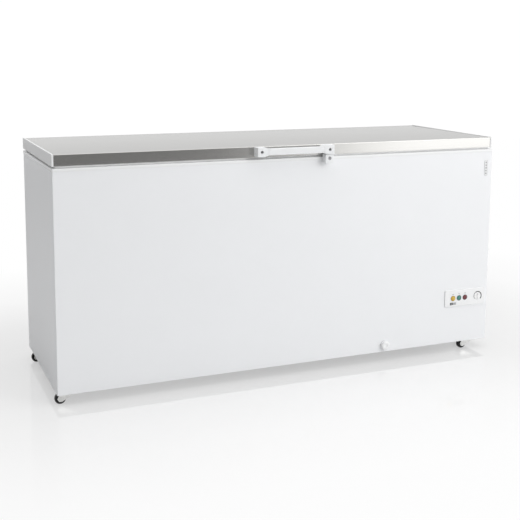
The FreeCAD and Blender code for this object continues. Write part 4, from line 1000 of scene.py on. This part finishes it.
def makeBasketTree():
    kit = PieceTree("wireBasket", basket)
    given = [kit.given[label] for label in basket]
    width, depth, height, wire, rail, railWidth, railDepth, crossWires, longWires, corner = given
    wireCircle = kit.node("CurvePrimitiveCircle", Resolution=10, Radius=wire)
    railCircle = kit.node("CurvePrimitiveCircle", Resolution=14, Radius=rail)

    def bent(curve, radius):
        return kit.node("FilletCurve", {"mode": "POLY"}, Curve=curve, Count=6, Radius=radius)

    def tube(curve, profile):
        return kit.node("CurveToMesh", Curve=curve, Profile_Curve=profile, Fill_Caps=True)

    def bentWire(across, drop, axis):
        # An upturned U: down one side, over the floor, up the other.
        half, minus, floor = kit.scaled(across, 0.5), kit.scaled(across, -0.5), kit.scaled(drop, -1.0)
        ends = [kit.vector(**{axis: reach, "Z": level})
                for reach, level in ((minus, 0.0), (minus, floor), (half, floor), (half, 0.0))]
        runs = [kit.node("CurvePrimitiveLine", Start=first, End=second) for first, second in zip(ends, ends[1:])]
        path = kit.joined([kit.node("CurveToMesh", Curve=run) for run in reversed(runs)])
        merged = kit.node("MergeByDistance", Geometry=path, Distance=0.0001)
        return tube(bent(kit.node("MeshToCurve", Mesh=merged), corner), wireCircle)

    def row(instance, count, across, axis):
        start, end = [kit.vector(**{axis: kit.scaled(across, share)}) for share in (-0.5, 0.5)]
        line = kit.node("MeshLine", {"mode": "END_POINTS"}, Count=count, Start_Location=start, Offset=end)
        return kit.node("InstanceOnPoints", Points=line, Instance=instance)

    lower = kit.less(height, kit.scaled(wire, 1.9))
    pieces = [row(bentWire(width, height, "X"), crossWires, kit.less(depth, 0.05), "Y"),
              row(bentWire(depth, lower, "Y"), longWires, kit.less(width, 0.06), "X")]
    for share in hoopShares:
        inset = kit.scaled(wire, 3.8)
        hoop = kit.node("CurvePrimitiveQuadrilateral", Width=kit.less(width, inset), Height=kit.less(depth, inset))
        lift = kit.vector(Z=kit.scaled(height, -share))
        pieces.append(kit.node("Transform", Geometry=tube(bent(hoop, corner), wireCircle), Translation=lift))
    frameCurve = kit.node("CurvePrimitiveQuadrilateral", Width=railWidth, Height=railDepth)
    pieces.append(tube(bent(frameCurve, 0.012), railCircle))
    kit.close(kit.joined(pieces), finishes["dippedWire"])
    return kit


def makeBaskets():
    kit = makeBasketTree()
    for node, body in (("basket_left", "left_basket"), ("basket_right", "right_basket")):
        low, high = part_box(node)
        centre = middle(node)
        wide, deep = high[0] - low[0], high[1] - low[1]
        railMid = high[2] - 0.003
        values = {"Width": wide - 0.0165, "Depth": deep - 0.036, "Height": railMid - low[2] - 0.002,
                  "Rail Width": wide - 0.006, "Rail Depth": deep - 0.006}
        base = pointMesh(node + "Base", [(0, 0, 0)])
        piece = grow(kit, node + "Wire", base, values, "dippedWire", body, "basket_wire", node)
        piece.data.transform(Matrix.Translation((centre.x, centre.y, railMid)))
    print("baskets made")


slat = {"Length": 0.188, "Pitch": 0.024, "Count": 8, "Slat Width": 0.011, "Thickness": 0.0012}
slatAngle, slatSunk, slatRise = 35, 0.0068, 0.062


def makeSlatTree():
    kit = PieceTree("ventSlats", slat)
    length, pitch, count, width, thick = [kit.given[label] for label in slat]
    blade = kit.node("MeshCube", Size=kit.vector(X=width, Y=length, Z=thick))
    tilted = kit.node("Transform", Geometry=blade, Rotation=(0, math.radians(slatAngle), 0))
    line = kit.node("MeshLine", {"mode": "OFFSET"}, Count=count, Offset=kit.vector(Z=pitch))
    kit.close(kit.node("InstanceOnPoints", Points=line, Instance=tilted), finishes["darkGrey"])
    return kit


def makeSlats():
    base = pointMesh("sideSlatBase", [(0, 0, 0)])
    piece = grow(makeSlatTree(), "sideVentSlats", base, {}, "darkGrey", "cabinet", "grey_plastic")
    shellLow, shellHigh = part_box("outer_shell")
    piece.data.transform(Matrix.Translation((shellHigh[0] - slatSunk, 0.0, shellLow[2] + slatRise)))
    print("vent slats made")


# ---- everything in order

bpy.context.scene.view_settings.view_transform = "Standard"
makeCamera()
makeGroups()
makeWorld()
makeFloor()
for lightName, settings in lamps.items():
    makeLight(lightName, *settings)
print("studio made")
makeFinishes()
makePanel()
carryPieces()
makeBarrel()
makeDrainCaps()
makeWheels()
print("turned pieces made")
makeSeal()
makeScrews()
makeBaskets()
makeSlats()
